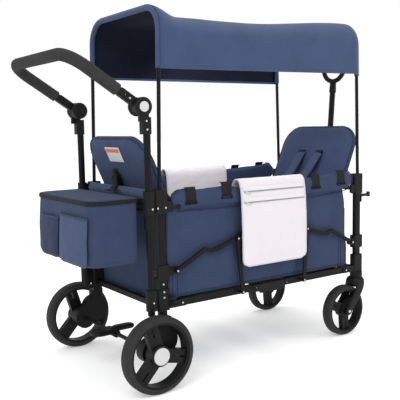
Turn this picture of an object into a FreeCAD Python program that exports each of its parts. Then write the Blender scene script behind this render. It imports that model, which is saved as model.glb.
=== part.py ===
"""Folding two-seat wagon with a canopy, a rear push handle, a rear basket and a front pull handle.

The frame's origin is on the ground under the middle of the bounding box. +X points to the front,
where the pull handle is, +Y to the wagon's left and +Z up. Sizes are in millimetres.
"""
import math
import os
import re

import FreeCAD
import Part

os.makedirs("parts", exist_ok=True)

# Places along X are counted from the middle of the wheelbase, which stands at middle_x.
DRIVING = {
    "post_x": 466,            # posts, fore and aft of the middle
    "post_y": 238,            # posts, each side of the centre plane
    "post_wide": 32,
    "post_deep": 22,
    "post_foot": 231,
    "post_top": 646,
    "bracket_top": 651,
    "rail_z": 266,            # height of the folding rails and their pivots
    "rail_tall": 24,
    "rail_thick": 18,
    "rail_y": 237,
    "rail_root_x": 394,
    "rail_tip_x": 74,
    "pin_r": 4,
    "bore_r": 4.05,
    "wave_root_x": 418,
    "wave_root_z": 379,
    "wave_y": 258,
    "wave_thick": 8,
    "wave_wide": 14,
    "link_y": 265.5,
    "link_thick": 5,
    "link_foot_x": 148,
    "link_head_x": 166,
    "link_head_z": 460,
    "tube_x": 512,            # push-handle tubes
    "tube_y": 245,
    "tube_r": 12,
    "tube_foot": 240,
    "handle_x": 527,          # push-handle pivots
    "handle_z": 917,
    "handle_y": 235,
    "handle_rise": 33,        # degrees above level
    "handle_reach": 289.2,
    "grip_start": 96,
    "grip_r": 19.5,
    "grip_corner": 70,
    "hub_r": 30,
    "button_r": 16.5,
    "rear_axle_x": 525,
    "rear_wheel_r": 127,
    "rear_wheel_y": 301,
    "rear_wheel_wide": 46,
    "front_axle_x": 393,
    "front_wheel_r": 101,
    "front_wheel_wide": 42,
    "caster_x": 466,
    "caster_y": 236,
    "axle_r": 6,
    "pedal_y": 10,
    "hoop_r": 6.5,
    "hoop_y": 237,
    "hoop_top": 1239,
    "hoop_corner": 80,
    "rear_hoop_x": 466,
    "front_hoop_x": 472,
    "hoop_lean": 1.3,         # degrees, towards the middle
    "canopy_top": 1250,
    "canopy_hem": 1036,
    "canopy_y": 248,
    "canopy_cloth": 3,
    "tub_rear_x": 436,
    "tub_front_x": 402,
    "tub_y": 238,
    "tub_floor": 284,
    "tub_rim": 655,
    "tub_cloth": 8,
    "guard_foot": 565,
    "seat_x": 368,            # seat-back hinges, fore and aft of the middle
    "seat_z": 500,
    "seat_lean": 23.5,        # degrees outwards from upright
    "seat_half": 213,
    "seat_thick": 28,
    "rear_seat_length": 352,
    "front_seat_length": 372,
    "seat_corner": 92,
    "bench_front": 150,
    "bench_back": 348,
    "bench_top": 490,
    "bench_thick": 46,
    "bench_half": 204,
    "basket_near": 540,
    "basket_far": 714,
    "basket_half": 223,
    "basket_foot": 412,
    "basket_top": 619,
    "lid_z": 626,
    "lid_thick": 12,
    "pad_half": 150,
    "pad_foot": 352,
    "pull_x": 515,            # pull-handle pivot
    "pull_z": 260,
    "pull_lean": 4.7,         # degrees forward from upright
    "pull_tube_r": 15,
    "pull_rod_r": 12,
    "pull_fit": 0.06,
    "pull_tube_end": 430,
    "pull_rod_start": 300,
    "pull_rod_end": 772,
    "ring_r": 60,
    "ring_tube_r": 10,
    "ring_rise": 66,          # from the rod's end to the ring's centre
}


def middle_between_ends():
    """How far the middle of the wheelbase is ahead of the bounding box's middle."""
    rise = math.radians(DRIVING["handle_rise"])
    lean = math.sin(math.radians(DRIVING["pull_lean"]))
    rear_reach = DRIVING["handle_x"] + DRIVING["handle_reach"] * math.cos(rise) + DRIVING["grip_r"]
    ring_top = DRIVING["pull_rod_end"] + DRIVING["ring_rise"] + DRIVING["ring_r"]
    front_reach = DRIVING["pull_x"] + ring_top * lean + DRIVING["ring_tube_r"]
    return (rear_reach - front_reach) / 2


DRIVING["middle_x"] = round(middle_between_ends(), 2)
SIDES = {"right": -1, "left": 1}
ENDS = {"rear": -1, "front": 1}
X_AXIS = FreeCAD.Vector(1, 0, 0)
Y_AXIS = FreeCAD.Vector(0, 1, 0)
Z_AXIS = FreeCAD.Vector(0, 0, 1)
TURN_TO = {
    "x": FreeCAD.Rotation(Z_AXIS, X_AXIS),
    "y": FreeCAD.Rotation(Z_AXIS, Y_AXIS),
    "z": FreeCAD.Rotation(),
}

doc = FreeCAD.newDocument("wagon")
sheet = doc.addObject("Spreadsheet::Sheet", "dims")
for row, (alias, size) in enumerate(DRIVING.items(), 1):
    sheet.set(f"A{row}", alias)
    sheet.set(f"B{row}", str(size))
    sheet.setAlias(f"B{row}", alias)
doc.recompute()

sub_parts = []


def dim(alias):
    """The number in one cell of the sheet."""
    return float(sheet.get(alias))


def cells(text):
    """An expression with each cell's alias pointed at the sheet."""
    def point(word):
        return f"dims.{word[0]}" if word[0] in DRIVING else word[0]

    return re.sub(r"[a-z]+(_[a-z]+)*", point, str(text))


def bind(thing, **sizes):
    """Ties properties to expressions of the sheet's cells."""
    for name, text in sizes.items():
        thing.setExpression(name, cells(text))


def put(thing, x, y, z):
    """Ties a thing's place to expressions."""
    for axis, text in zip("xyz", (x, y, z)):
        thing.setExpression(f"Placement.Base.{axis}", cells(text))


def block(name, size, middle):
    """A box of the given size about a middle point."""
    box = doc.addObject("Part::Box", name)
    bind(box, Length=size[0], Width=size[1], Height=size[2])
    put(box, *(f"({m}) - ({s}) / 2" for m, s in zip(middle, size)))
    return box


def rod(name, radius, length, middle, axis="y"):
    """A round bar along one axis about a middle point."""
    bar = doc.addObject("Part::Cylinder", name)
    bind(bar, Radius=radius, Height=length)
    bar.Placement = FreeCAD.Placement(FreeCAD.Vector(), TURN_TO[axis])
    start = list(middle)
    start["xyz".index(axis)] = f"({start['xyz'.index(axis)]}) - ({length}) / 2"
    put(bar, *start)
    return bar


def cone(name, low_r, high_r, length, foot):
    """A tapered bar standing on its foot."""
    bar = doc.addObject("Part::Cone", name)
    bind(bar, Radius1=low_r, Radius2=high_r, Height=length)
    put(bar, *foot)
    return bar


def bend(name, ring_r, tube_r, middle, turn, sweep=90):
    """Part of a torus. It lies about the turned Z axis and starts at the turned X axis."""
    ring = doc.addObject("Part::Torus", name)
    bind(ring, Radius1=ring_r, Radius2=tube_r)
    ring.Angle3 = sweep
    ring.Placement = FreeCAD.Placement(FreeCAD.Vector(), turn)
    put(ring, *middle)
    return ring


def fuse(name, pieces):
    """One solid of several that meet."""
    whole = doc.addObject("Part::MultiFuse", name)
    whole.Shapes = pieces
    return whole


def cut(name, base, tools):
    """A solid less its tools."""
    rest = doc.addObject("Part::Cut", name)
    rest.Base = base
    rest.Tool = tools[0] if len(tools) == 1 else fuse(f"{name}_tools", tools)
    return rest


def along(edge, direction):
    """Whether a straight edge runs along a direction."""
    if not isinstance(edge.Curve, Part.Line):
        return False
    return abs(edge.tangentAt(edge.FirstParameter).dot(direction)) > 0.999


def rounded(name, base, radius, choose):
    """Rounds the edges of a solid that the choose function accepts."""
    doc.recompute()
    soft = doc.addObject("Part::Fillet", name)
    soft.Base = base
    edges = enumerate(base.Shape.Edges, 1)
    soft.Edges = [(number, radius, radius) for number, edge in edges if choose(edge)]
    return soft


def soft_block(name, size, middle, radius, axis):
    """A box whose edges along one axis are rounded."""
    return rounded(name, block(f"{name}_box", size, middle), radius, lambda edge: along(edge, axis))


def strap(name, points, wide, thick, y):
    """A flat bar that follows points in an upright plane, with a round end at each point."""
    pieces = []
    for number, (x, z) in enumerate(points):
        pieces.append(rod(f"{name}_knee{number}", f"({wide}) / 2", thick, (x, y, z)))
    for number, ((x0, z0), (x1, z1)) in enumerate(zip(points, points[1:])):
        piece = doc.addObject("Part::Box", f"{name}_run{number}")
        run = f"sqrt((({x1}) - ({x0})) ^ 2 + (({z1}) - ({z0})) ^ 2)"
        bind(piece, Length=run, Width=thick, Height=wide)
        slope = f"atan2(({z1}) - ({z0}); ({x1}) - ({x0}))"
        piece.Placement = FreeCAD.Placement(FreeCAD.Vector(), FreeCAD.Rotation(Y_AXIS, -1))
        piece.setExpression("Placement.Rotation.Angle", cells(f"-({slope})"))
        across = f"({wide}) / 2 / ({run})"
        put(
            piece,
            f"({x0}) + (({z1}) - ({z0})) * {across}",
            f"({y}) - ({thick}) / 2",
            f"({z0}) - (({x1}) - ({x0})) * {across}",
        )
        pieces.append(piece)
    return fuse(name, pieces)


def keep(name, solids, x="0", z="0", angle=None):
    """Hands in a sub-part: a solid or a list of them, moved by middle_x, x and z and leaned by an angle."""
    group = doc.addObject("Part::Compound", name)
    group.Links = solids if isinstance(solids, list) else [solids]
    group.Label = name
    if angle is not None:
        group.Placement = FreeCAD.Placement(FreeCAD.Vector(), FreeCAD.Rotation(Y_AXIS, 1))
        group.setExpression("Placement.Rotation.Angle", cells(angle))
    put(group, f"middle_x + ({x})", "0", z)
    sub_parts.append(group)


# ---------------------------------------------------------------- posts and their brackets

def post(end, side):
    """An oval upright tube."""
    size = ("post_wide", "post_deep", "post_top - post_foot")
    middle = (f"{ENDS[end]} * post_x", f"{SIDES[side]} * post_y", "(post_top + post_foot) / 2")
    return soft_block(f"{end}_{side}_post", size, middle, 9, Z_AXIS)


def sleeve(name, x_low, x_high, z_low, z_high, y):
    """A plastic sleeve's outside, 3 mm proud of the post each way across."""
    size = (f"({x_high}) - ({x_low})", "post_deep + 7", f"({z_high}) - ({z_low})")
    middle = (f"(({x_low}) + ({x_high})) / 2", y, f"(({z_low}) + ({z_high})) / 2")
    return soft_block(name, size, middle, 6, Z_AXIS)


def frame_brackets(end, side):
    """The top, middle and low brackets of one corner."""
    to, out = ENDS[end], SIDES[side]
    tag = f"{end}_{side}"
    y = f"{out} * post_y"
    upright = post(end, side)
    tube_place = (f"{to} * tube_x", f"{out} * tube_y", 550)
    handle_bore = rod(f"{tag}_tube_bore", "tube_r + 0.1", 700, tube_place, "z")
    cuts = [upright] if end == "front" else [upright, handle_bore]

    top = [
        sleeve(f"{tag}_top_sleeve", f"{to} * post_x - 23", f"{to} * post_x + 23", 571, "bracket_top", y),
        block(f"{tag}_top_arm", (24, 8, 32), (f"{to} * (post_x - 32)", f"{out} * (post_y + 7)", 592)),
    ]
    wave_x = f"{to} * wave_root_x"
    middle = [
        sleeve(f"{tag}_middle_sleeve", f"{to} * post_x - 24", f"{to} * post_x + 24", 351, 401, y),
        strap(
            f"{tag}_middle_arm",
            [(f"{to} * (post_x - 14)", 374), (wave_x, "wave_root_z")],
            26, 8, f"{out} * (post_y + 8)",
        ),
        rod(f"{tag}_wave_pin", "pin_r", 16, (wave_x, f"{out} * 257.5", "wave_root_z")),
        rod(f"{tag}_wave_head", "pin_r + 3", 2.5, (wave_x, f"{out} * 263.9", "wave_root_z")),
    ]
    low = [sleeve(f"{tag}_low_sleeve", f"{to} * post_x - 23", f"{to} * post_x + 23", 250, 322, y)]
    for face, offset in (("inner", -11.5), ("outer", 11.5)):
        low.append(block(
            f"{tag}_{face}_ear", (70, 3, "rail_tall"),
            (f"{to} * (rail_root_x + 21)", f"{out} * (rail_y + {offset})", "rail_z"),
        ))
    pin_place = (f"{to} * rail_root_x", f"{out} * (rail_y + 0.5)", "rail_z")
    low.append(rod(f"{tag}_rail_pin", "pin_r", 30, pin_place))
    if end == "rear":
        for name, z_low, z_high, group in (("high", 571, 648, top), ("foot", 257, 326, low)):
            group.append(rod(
                f"{tag}_{name}_collar", "tube_r + 5.5", z_high - z_low,
                (f"{to} * tube_x", f"{out} * tube_y", (z_low + z_high) / 2), "z",
            ))
            group.append(block(
                f"{tag}_{name}_web", (30, 16, z_high - z_low - 8),
                (f"{to} * (tube_x - 21)", f"{out} * (post_y + 2)", (z_low + z_high) / 2),
            ))
    else:
        cup_z = "(post_foot + 250) / 2"
        low.append(rod(f"{tag}_swivel_cup", 25, "250 - post_foot", (f"{to} * post_x", y, cup_z), "z"))
    names = {"top": top, "middle": middle, "low": low}
    solids = [
        cut(f"{tag}_{name}_bracket", fuse(f"{tag}_{name}_blank", pieces), cuts)
        for name, pieces in names.items()
    ]
    return upright, solids


corners = {}
for end in ENDS:
    for side in SIDES:
        upright, brackets = frame_brackets(end, side)
        corners[end, side] = brackets
        keep(f"{end}_post_{side}", upright)
for side in SIDES:
    keep(f"rear_brackets_{side}", corners["rear", side])
keep("front_brackets", corners["front", "right"] + corners["front", "left"])

# ---------------------------------------------------------------- cross bars

INNER_Y = "post_y - post_deep / 2 - 3.5"


def cross_bars(end):
    """The low and high bars between two posts, and the rod that the seat back turns on."""
    to = ENDS[end]
    low = soft_block(f"{end}_low_bar", (20, f"2 * ({INNER_Y})", 22), (f"{to} * post_x", 0, 261), 6, Y_AXIS)
    high = rod(f"{end}_high_bar", 8, f"2 * ({INNER_Y})", (f"{to} * post_x", 0, 590))
    seat_rod = rod(f"{end}_seat_rod", 6, "2 * 229", (f"{to} * seat_x", 0, "seat_z"))
    return [low, high, seat_rod]


keep("rear_crossbars", cross_bars("rear"))
front_low, front_high, front_rod = cross_bars("front")
pull_ears = [
    block(f"pull_ear_{side}", (66, 5, 26), ("pull_x - 23", SIDES[side] * 19, "pull_z")) for side in SIDES
]
pull_pin = rod("pull_pin", "pin_r", 48, ("pull_x", 0, "pull_z"))
front_low_bar = fuse("front_low_bar_with_ears", [front_low, *pull_ears, pull_pin])
keep("front_crossbars", [front_low_bar, front_high, front_rod])

# ---------------------------------------------------------------- folding rails, floor, wave bars, links

def rail(end, side):
    """Half of a lower side rail, with a hole at each end and the link's pin."""
    to, out = ENDS[end], SIDES[side]
    tag = f"{end}_{side}_rail"
    ends = [(f"{to} * rail_root_x", "rail_z"), (f"{to} * rail_tip_x", "rail_z")]
    body = strap(f"{tag}_bar", ends, "rail_tall", "rail_thick", f"{out} * rail_y")
    holes = [
        rod(f"{tag}_hole{number}", "bore_r", 40, (x, f"{out} * rail_y", z))
        for number, (x, z) in enumerate(ends)
    ]
    foot_x = f"{to} * link_foot_x"
    pin = rod(f"{tag}_link_pin", "pin_r", 25, (foot_x, f"{out} * 257.5", "rail_z"))
    head = rod(f"{tag}_link_head", "pin_r + 3", 2.2, (foot_x, f"{out} * 269.6", "rail_z"))
    return fuse(tag, [cut(f"{tag}_bored", body, holes), pin, head])


def wave_bar(end, side):
    """A wavy brace from the middle bracket to the middle of the side."""
    to, out = ENDS[end], SIDES[side]
    route = [
        ("wave_root_x", "wave_root_z"), (303, 437), (275, 429), (249, 433),
        ("link_head_x", "link_head_z"), (137, 478), (12, 488),
    ]
    points = [(f"{to} * {x}", z) for x, z in route]
    bar = strap(f"{end}_{side}_wave_bar", points, "wave_wide", "wave_thick", f"{out} * wave_y")
    hole = rod(f"{end}_{side}_wave_hole", "bore_r", 40, (points[0][0], f"{out} * wave_y", points[0][1]))
    return cut(f"{end}_{side}_wave", bar, [hole])


def link(end, side):
    """The flat upright link between a rail and its wave bar."""
    to, out = ENDS[end], SIDES[side]
    tag = f"{end}_{side}_link"
    points = [(f"{to} * link_foot_x", "rail_z"), (f"{to} * link_head_x", "link_head_z")]
    bar = strap(f"{tag}_bar", points, 16, "link_thick", f"{out} * link_y")
    hole = rod(f"{tag}_hole", "bore_r", 40, (points[0][0], f"{out} * link_y", points[0][1]))
    rivet = rod(f"{tag}_rivet", 5, 4, (points[1][0], f"{out} * (link_y + 2.5)", points[1][1]))
    return fuse(tag, [cut(f"{tag}_bored", bar, [hole]), rivet])


for end in ENDS:
    for kind, make in (("rails", rail), ("wave_bars", wave_bar), ("links", link)):
        keep(f"{end}_{kind}", [make(end, side) for side in SIDES])
    floor_size = (274, "2 * (rail_y - rail_thick / 2)", 12)
    floor_middle = (f"{ENDS[end]} * 235", 0, "rail_z + 4")
    keep(f"{end}_floor", soft_block(f"{end}_floor_board", floor_size, floor_middle, 4, Y_AXIS))


def centre_bracket(side):
    """Two tapered plates about a spacer, with the pins of both rails."""
    out = SIDES[side]
    pieces = []
    for face, offset in (("inner", -13), ("outer", 10)):
        plate = doc.addObject("Part::Wedge", f"{side}_{face}_plate")
        # The wedge grows along its own Y, which is turned to point down.
        bind(plate, Xmin=-91, Xmax=91, X2min=-52, X2max=52)
        bind(plate, Ymin=0, Ymax=33, Zmin=0, Zmax=3, Z2min=0, Z2max=3)
        plate.Placement = FreeCAD.Placement(FreeCAD.Vector(), FreeCAD.Rotation(X_AXIS, -90))
        put(plate, 0, f"{out} * rail_y + {offset}", 276)
        pieces.append(plate)
    pieces.append(block(f"{side}_spacer", (84, 21, 26), (0, f"{out} * rail_y", 262)))
    for end, to in ENDS.items():
        tip = (f"{to} * rail_tip_x", f"{out} * rail_y", "rail_z")
        pieces.append(rod(f"{side}_{end}_tip_pin", "pin_r", 30, tip))
    return fuse(f"{side}_centre_bracket", pieces)


keep("centre_brackets", [centre_bracket(side) for side in SIDES])
centre_size = (112, "2 * (rail_y - 13)", 12)
centre_board = soft_block("centre_floor_board", centre_size, (0, 0, "rail_z + 4"), 4, Y_AXIS)
keep("centre_floor", centre_board)

# ---------------------------------------------------------------- push handle

def handle_socket(side):
    """The fixed lower half of a handle joint, with the hole that its button slides in."""
    out = SIDES[side]
    tag = f"{side}_socket"
    stem = block(f"{tag}_stem", (30, 24, 54), ("-tube_x - 4", f"{out} * tube_y", 857))
    cheek = block(f"{tag}_cheek", (34, 11.5, 46), ("-handle_x + 1", f"{out} * 252", 893))
    disc = rod(f"{tag}_disc", "hub_r", 11.5, ("-handle_x", f"{out} * 252", "handle_z"))
    recess = rod(f"{tag}_recess", "button_r + 0.05", 8, ("-handle_x", f"{out} * 255", "handle_z"))
    pin = rod(f"{tag}_pin", 5, 28, ("-handle_x", f"{out} * 237", "handle_z"))
    return fuse(tag, [cut(f"{tag}_shell", fuse(f"{tag}_blank", [stem, cheek, disc]), [recess]), pin])


def handle_arm(side):
    """The turning upper half of a handle joint, in its own frame: level, with its pivot at the origin."""
    out = SIDES[side]
    tag = f"{side}_arm"
    disc = rod(f"{tag}_disc", "hub_r - 2", 21, (0, f"{out} * handle_y", 0))
    bar = strap(f"{tag}_bar", [(0, 0), ("-(grip_start - 14)", 0)], 28, 18, f"{out} * handle_y")
    plug = rod(f"{tag}_plug", 14, 26, ("-(grip_start - 13)", f"{out} * handle_y", 0), "x")
    hole = rod(f"{tag}_hole", 5.05, 60, (0, f"{out} * handle_y", 0))
    return cut(tag, fuse(f"{tag}_blank", [disc, bar, plug]), [hole])


def handle_grip():
    """The foam-covered bow, in the same frame as the arms."""
    pieces = []
    leg = "handle_reach - grip_corner - grip_start"
    for side, out in SIDES.items():
        middle = (f"-(grip_start + ({leg}) / 2)", f"{out} * handle_y", 0)
        pieces.append(rod(f"grip_leg_{side}", "grip_r", leg, middle, "x"))
        turn = FreeCAD.Rotation(Z_AXIS, 90 if out > 0 else 180)
        corner = ("-(handle_reach - grip_corner)", f"{out} * (handle_y - grip_corner)", 0)
        pieces.append(bend(f"grip_bend_{side}", "grip_corner", "grip_r", corner, turn))
    across = "2 * (handle_y - grip_corner)"
    pieces.append(rod("grip_across", "grip_r", across, ("-handle_reach", 0, 0)))
    return fuse("grip_bow", pieces)


def handle_tube(side):
    """An upright tube that carries the push handle, with a collar."""
    out = SIDES[side]
    place = ("-tube_x", f"{out} * tube_y")
    tube = rod(f"{side}_handle_tube", "tube_r", "830 - tube_foot", (*place, "(830 + tube_foot) / 2"), "z")
    collar = rod(f"{side}_handle_collar", "tube_r + 5.5", 46, (*place, 547), "z")
    return fuse(f"{side}_collared_tube", [tube, collar])


keep("handle_tubes", [handle_tube(side) for side in SIDES])
keep("handle_sockets", [handle_socket(side) for side in SIDES])
for side, out in SIDES.items():
    keep(f"handle_arm_{side}", handle_arm(side), "-handle_x", "handle_z", "handle_rise")
    button = rod(f"{side}_button", "button_r", 8, ("-handle_x", f"{out} * 257.5", "handle_z"))
    keep(f"handle_button_{side}", [button])
keep("handle_grip", handle_grip(), "-handle_x", "handle_z", "handle_rise")

# ---------------------------------------------------------------- wheels

def tyre(tag, radius, wide, place):
    """A tyre with rounded shoulders."""
    barrel = rod(f"{tag}_tyre_barrel", radius, wide, place)
    shoulder = dim(wide) * 0.28
    full = dim(radius)
    ring = rounded(
        f"{tag}_tyre_round", barrel, shoulder,
        lambda edge: isinstance(edge.Curve, Part.Circle) and edge.Length > 6 * full,
    )
    bore = rod(f"{tag}_tyre_bore", f"({radius}) * 0.85", f"({wide}) + 4", place)
    return cut(f"{tag}_tyre_ring", ring, [bore])


def rim(tag, radius, wide, place, spoke_from):
    """A rim with three forked spokes on a bored hub."""
    x, y, z = place
    hoop_out = rod(f"{tag}_hoop_out", f"({radius}) * 0.85", f"({wide}) - 6", place)
    hoop_in = rod(f"{tag}_hoop_in", f"({radius}) * 0.785", f"({wide}) + 4", place)
    hoop = cut(f"{tag}_hoop", hoop_out, [hoop_in])
    pieces = [hoop, rod(f"{tag}_hub", f"({radius}) * 0.27", f"({wide}) - 4", place)]
    slots = []
    for number in range(3):
        turn = FreeCAD.Rotation(Y_AXIS, -(spoke_from + 120 * number))
        for kind, start, end, tall, thick, group in (
            ("spoke", 0.15, 0.81, 0.36, 0.5, pieces), ("slot", 0.5, 0.76, 0.045, 2, slots),
        ):
            bar = doc.addObject("Part::Box", f"{tag}_{kind}{number}")
            bind(bar, Length=f"({radius}) * {end - start}", Height=f"({radius}) * {tall}")
            bind(bar, Width=f"({wide}) * {thick}")
            corner = turn.multVec(FreeCAD.Vector(start, 0, -tall / 2))
            bar.Placement = FreeCAD.Placement(FreeCAD.Vector(), turn)
            put(
                bar,
                f"({x}) + ({radius}) * {corner.x}",
                f"({y}) - ({wide}) * {thick / 2}",
                f"({z}) + ({radius}) * {corner.z}",
            )
            group.append(bar)
    bore = rod(f"{tag}_rim_bore", "axle_r + 0.05", f"({wide}) + 4", place)
    return cut(f"{tag}_rim", fuse(f"{tag}_rim_blank", pieces), [*slots, bore])


def wheel_housing(side):
    """The bulging foot between a rear post and its wheel, with the stub axle."""
    out = SIDES[side]
    tag = f"{side}_housing"
    y = f"{out} * 250"
    neck = soft_block(f"{tag}_neck", (48, 36, 70), ("-post_x - 4", y, 196), 8, Z_AXIS)
    bulge = rod(f"{tag}_bulge", 50, 36, ("-rear_axle_x + 48", y, 158))
    drum = rod(f"{tag}_drum", 40, 40, ("-rear_axle_x", y, "rear_wheel_r"))
    axle = rod(f"{tag}_axle", "axle_r", 52, ("-rear_axle_x", f"{out} * 296", "rear_wheel_r"))
    pin_hole = rod(f"{tag}_pin_hole", 5.05, 24, ("-rear_axle_x", f"{out} * 231", "rear_wheel_r"))
    return fuse(tag, [cut(f"{tag}_shell", fuse(f"{tag}_blank", [neck, bulge, drum]), [pin_hole]), axle])


def fork(side):
    """A caster's swivel head, crown and two legs with their axle."""
    out = SIDES[side]
    tag = f"{side}_fork"
    y = f"{out} * caster_y"
    head = rod(f"{tag}_head", 23, 16, ("caster_x", y, 222), "z")
    crown = soft_block(f"{tag}_crown", (52, 60, 12), ("caster_x - 2", y, 212), 10, Z_AXIS)
    pieces = [head, crown]
    for face in (-1, 1):
        points = [("caster_x", 210), ("caster_x - 20", 168), ("front_axle_x", "front_wheel_r")]
        pieces.append(strap(f"{tag}_leg{face + 1}", points, 26, 6, f"({y}) + {face} * 26.5"))
    pieces.append(rod(f"{tag}_axle", "axle_r", 64, ("front_axle_x", y, "front_wheel_r")))
    return fuse(tag, pieces)


for side, out in SIDES.items():
    rear = ("-rear_axle_x", f"{out} * rear_wheel_y", "rear_wheel_r")
    front = ("front_axle_x", f"{out} * caster_y", "front_wheel_r")
    keep(f"wheel_housing_{side}", wheel_housing(side))
    keep(f"rear_tyre_{side}", tyre(f"rear_{side}", "rear_wheel_r", "rear_wheel_wide", rear))
    keep(f"rear_rim_{side}", rim(f"rear_{side}", "rear_wheel_r", "rear_wheel_wide", rear, 107))
    cap = rod(f"{side}_cap", 28, 4, (rear[0], f"{out} * (rear_wheel_y + 23.5)", rear[2]))
    keep(f"rear_hub_cap_{side}", [cap])
    keep(f"fork_{side}", fork(side))
    keep(f"front_tyre_{side}", tyre(f"front_{side}", "front_wheel_r", "front_wheel_wide", front))
    keep(f"front_rim_{side}", rim(f"front_{side}", "front_wheel_r", "front_wheel_wide", front, 35))

# ---------------------------------------------------------------- brake

brake_bar = rod("brake_rod", 7, 456, ("-rear_axle_x", 0, "rear_wheel_r"))
brake_pins = rod("brake_pins", 5, 476, ("-rear_axle_x", 0, "rear_wheel_r"))
keep("brake_bar", fuse("brake_bar_whole", [brake_bar, brake_pins]))
pedal_boss = rod("pedal_boss", 14, 64, ("-rear_axle_x", "pedal_y", "rear_wheel_r"))
heel_middle = ("-rear_axle_x - 42", "pedal_y", "rear_wheel_r + 6")
heel = soft_block("pedal_heel", (82, 60, 11), heel_middle, 24, Z_AXIS)
toe_middle = ("-rear_axle_x + 38", "pedal_y", "rear_wheel_r + 11")
toe = soft_block("pedal_toe", (88, 34, 11), toe_middle, 16, Z_AXIS)
pedal_bore = rod("pedal_bore", 7, 90, ("-rear_axle_x", "pedal_y", "rear_wheel_r"))
pedal_blank = fuse("pedal_blank", [pedal_boss, heel, toe])
keep("brake_pedal", cut("brake_pedal_bored", pedal_blank, [pedal_bore]))

# ---------------------------------------------------------------- canopy

def hoop(end):
    """An upright bow of thin tube, in its own frame, with its feet level with the origin."""
    pieces = []
    tall = "hoop_top - bracket_top - hoop_corner"
    for side, out in SIDES.items():
        pole_middle = (0, f"{out} * hoop_y", f"({tall}) / 2")
        pieces.append(rod(f"{end}_{side}_pole", "hoop_r", tall, pole_middle, "z"))
        turn = FreeCAD.Rotation(Z_AXIS, 90 * out) * FreeCAD.Rotation(X_AXIS, 90)
        place = (0, f"{out} * (hoop_y - hoop_corner)", tall)
        pieces.append(bend(f"{end}_{side}_bow", "hoop_corner", "hoop_r", place, turn))
    ridge_middle = (0, 0, "hoop_top - bracket_top")
    pieces.append(rod(f"{end}_ridge", "hoop_r", "2 * (hoop_y - hoop_corner)", ridge_middle))
    return fuse(f"{end}_hoop_bow", pieces)


for end, to in ENDS.items():
    keep(f"{end}_hoop", hoop(end), f"{to} * {end}_hoop_x", "bracket_top + 0.3", f"-{to} * hoop_lean")


def canopy():
    """The cloth: a long arch over both hoops, with level hems along its sides."""
    long, tall = 932, "canopy_top - canopy_hem"
    middle = ("(front_hoop_x - rear_hoop_x) / 2", 0, "(canopy_top + canopy_hem) / 2")
    outer = block("canopy_outer", (long, "2 * canopy_y", tall), middle)
    inner = block(
        "canopy_inner", (long + 20, "2 * (canopy_y - canopy_cloth)", tall),
        (middle[0], 0, f"({middle[2]}) - canopy_cloth"),
    )

    def crown(edge):
        return along(edge, X_AXIS) and edge.CenterOfMass.z > dim("canopy_top") - 30

    outer_round = rounded("canopy_outer_round", outer, dim("hoop_corner") + 10, crown)
    inner_round = rounded("canopy_inner_round", inner, dim("hoop_corner") + 7, crown)
    return cut("canopy_cloth_arch", outer_round, [inner_round])


keep("canopy", canopy())

# ---------------------------------------------------------------- cloth body, seats, pads

def tub():
    """The cloth sides of the body: four walls and the thicker guards along both rims."""
    long = "tub_rear_x + tub_front_x"
    centre = "(tub_front_x - tub_rear_x) / 2"
    pieces = []
    for side, out in SIDES.items():
        pieces.append(block(
            f"{side}_wall", (long, "tub_cloth", "tub_rim - tub_floor"),
            (centre, f"{out} * (tub_y - tub_cloth / 2)", "(tub_rim + tub_floor) / 2"),
        ))
        pieces.append(block(
            f"{side}_guard", (832, 16, "tub_rim - guard_foot"),
            (3, f"{out} * (tub_y - 2)", "(tub_rim + guard_foot) / 2"),
        ))
    for end, x, top in (("rear", "-tub_rear_x", 575), ("front", "tub_front_x", 515)):
        pieces.append(block(
            f"{end}_wall", (6, "2 * tub_y", f"{top} - tub_floor"),
            (f"{x} - {ENDS[end]} * 3", 0, f"({top} + tub_floor) / 2"),
        ))
    return fuse("tub_walls", pieces)


def seat_back(end):
    """A padded seat back, in its own frame: upright over its hinge at the origin, with two hinge lugs."""
    length = f"{end}_seat_length"
    panel_size = ("seat_thick", "2 * seat_half", f"{length} - 42")
    panel = block(f"{end}_panel", panel_size, (0, 0, f"({length} + 42) / 2"))
    round_panel = rounded(
        f"{end}_panel_round", panel, dim("seat_corner"),
        lambda edge: along(edge, X_AXIS) and edge.CenterOfMass.z > dim("seat_corner"),
    )
    pieces = [round_panel]
    for side, out in SIDES.items():
        pieces.append(rod(f"{end}_{side}_lug", 11, 50, (0, out * 120, 0)))
        pieces.append(block(f"{end}_{side}_lug_arm", (10, 50, 46), (0, out * 120, 23)))
    hole = rod(f"{end}_seat_hole", 6.05, "3 * seat_half", (0, 0, 0))
    return cut(f"{end}_seat_back_bored", fuse(f"{end}_seat_blank", pieces), [hole])


keep("tub", tub())
for end, to in ENDS.items():
    keep(f"{end}_seat_back", seat_back(end), f"{to} * seat_x", "seat_z", f"{to} * seat_lean")
    bench = soft_block(
        f"{end}_bench_block", ("bench_back - bench_front", "2 * bench_half", "bench_thick"),
        (f"{to} * (bench_back + bench_front) / 2", 0, "bench_top - bench_thick / 2"), 15, Y_AXIS,
    )
    keep(f"{end}_bench", bench)


def side_pad(side):
    """A flat pouch that hangs over one rim: a short leg inside and a long one outside."""
    out = SIDES[side]
    pieces = []
    runs = (("outer", 273, "pad_foot", 560), ("upper", 257, 560, 664), ("inner", 222, 600, 664))
    for name, y, low, high in runs:
        size = ("2 * pad_half", 4, f"{high} - {low}")
        pieces.append(block(f"{side}_pad_{name}", size, (0, out * y, f"({low} + {high}) / 2")))
    pieces.append(block(f"{side}_pad_top", ("2 * pad_half", 39, 4), (0, out * 239.5, 662)))
    pieces.append(block(f"{side}_pad_step", ("2 * pad_half", 20, 4), (0, out * 265, 558)))
    return fuse(f"{side}_pad", pieces)


keep("side_pads", [side_pad(side) for side in SIDES])
keep("rim_roll", [rod("rim_roll_bar", 17, "2 * 222", ("-post_x - 18", 0, 632))])

# ---------------------------------------------------------------- basket

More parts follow.
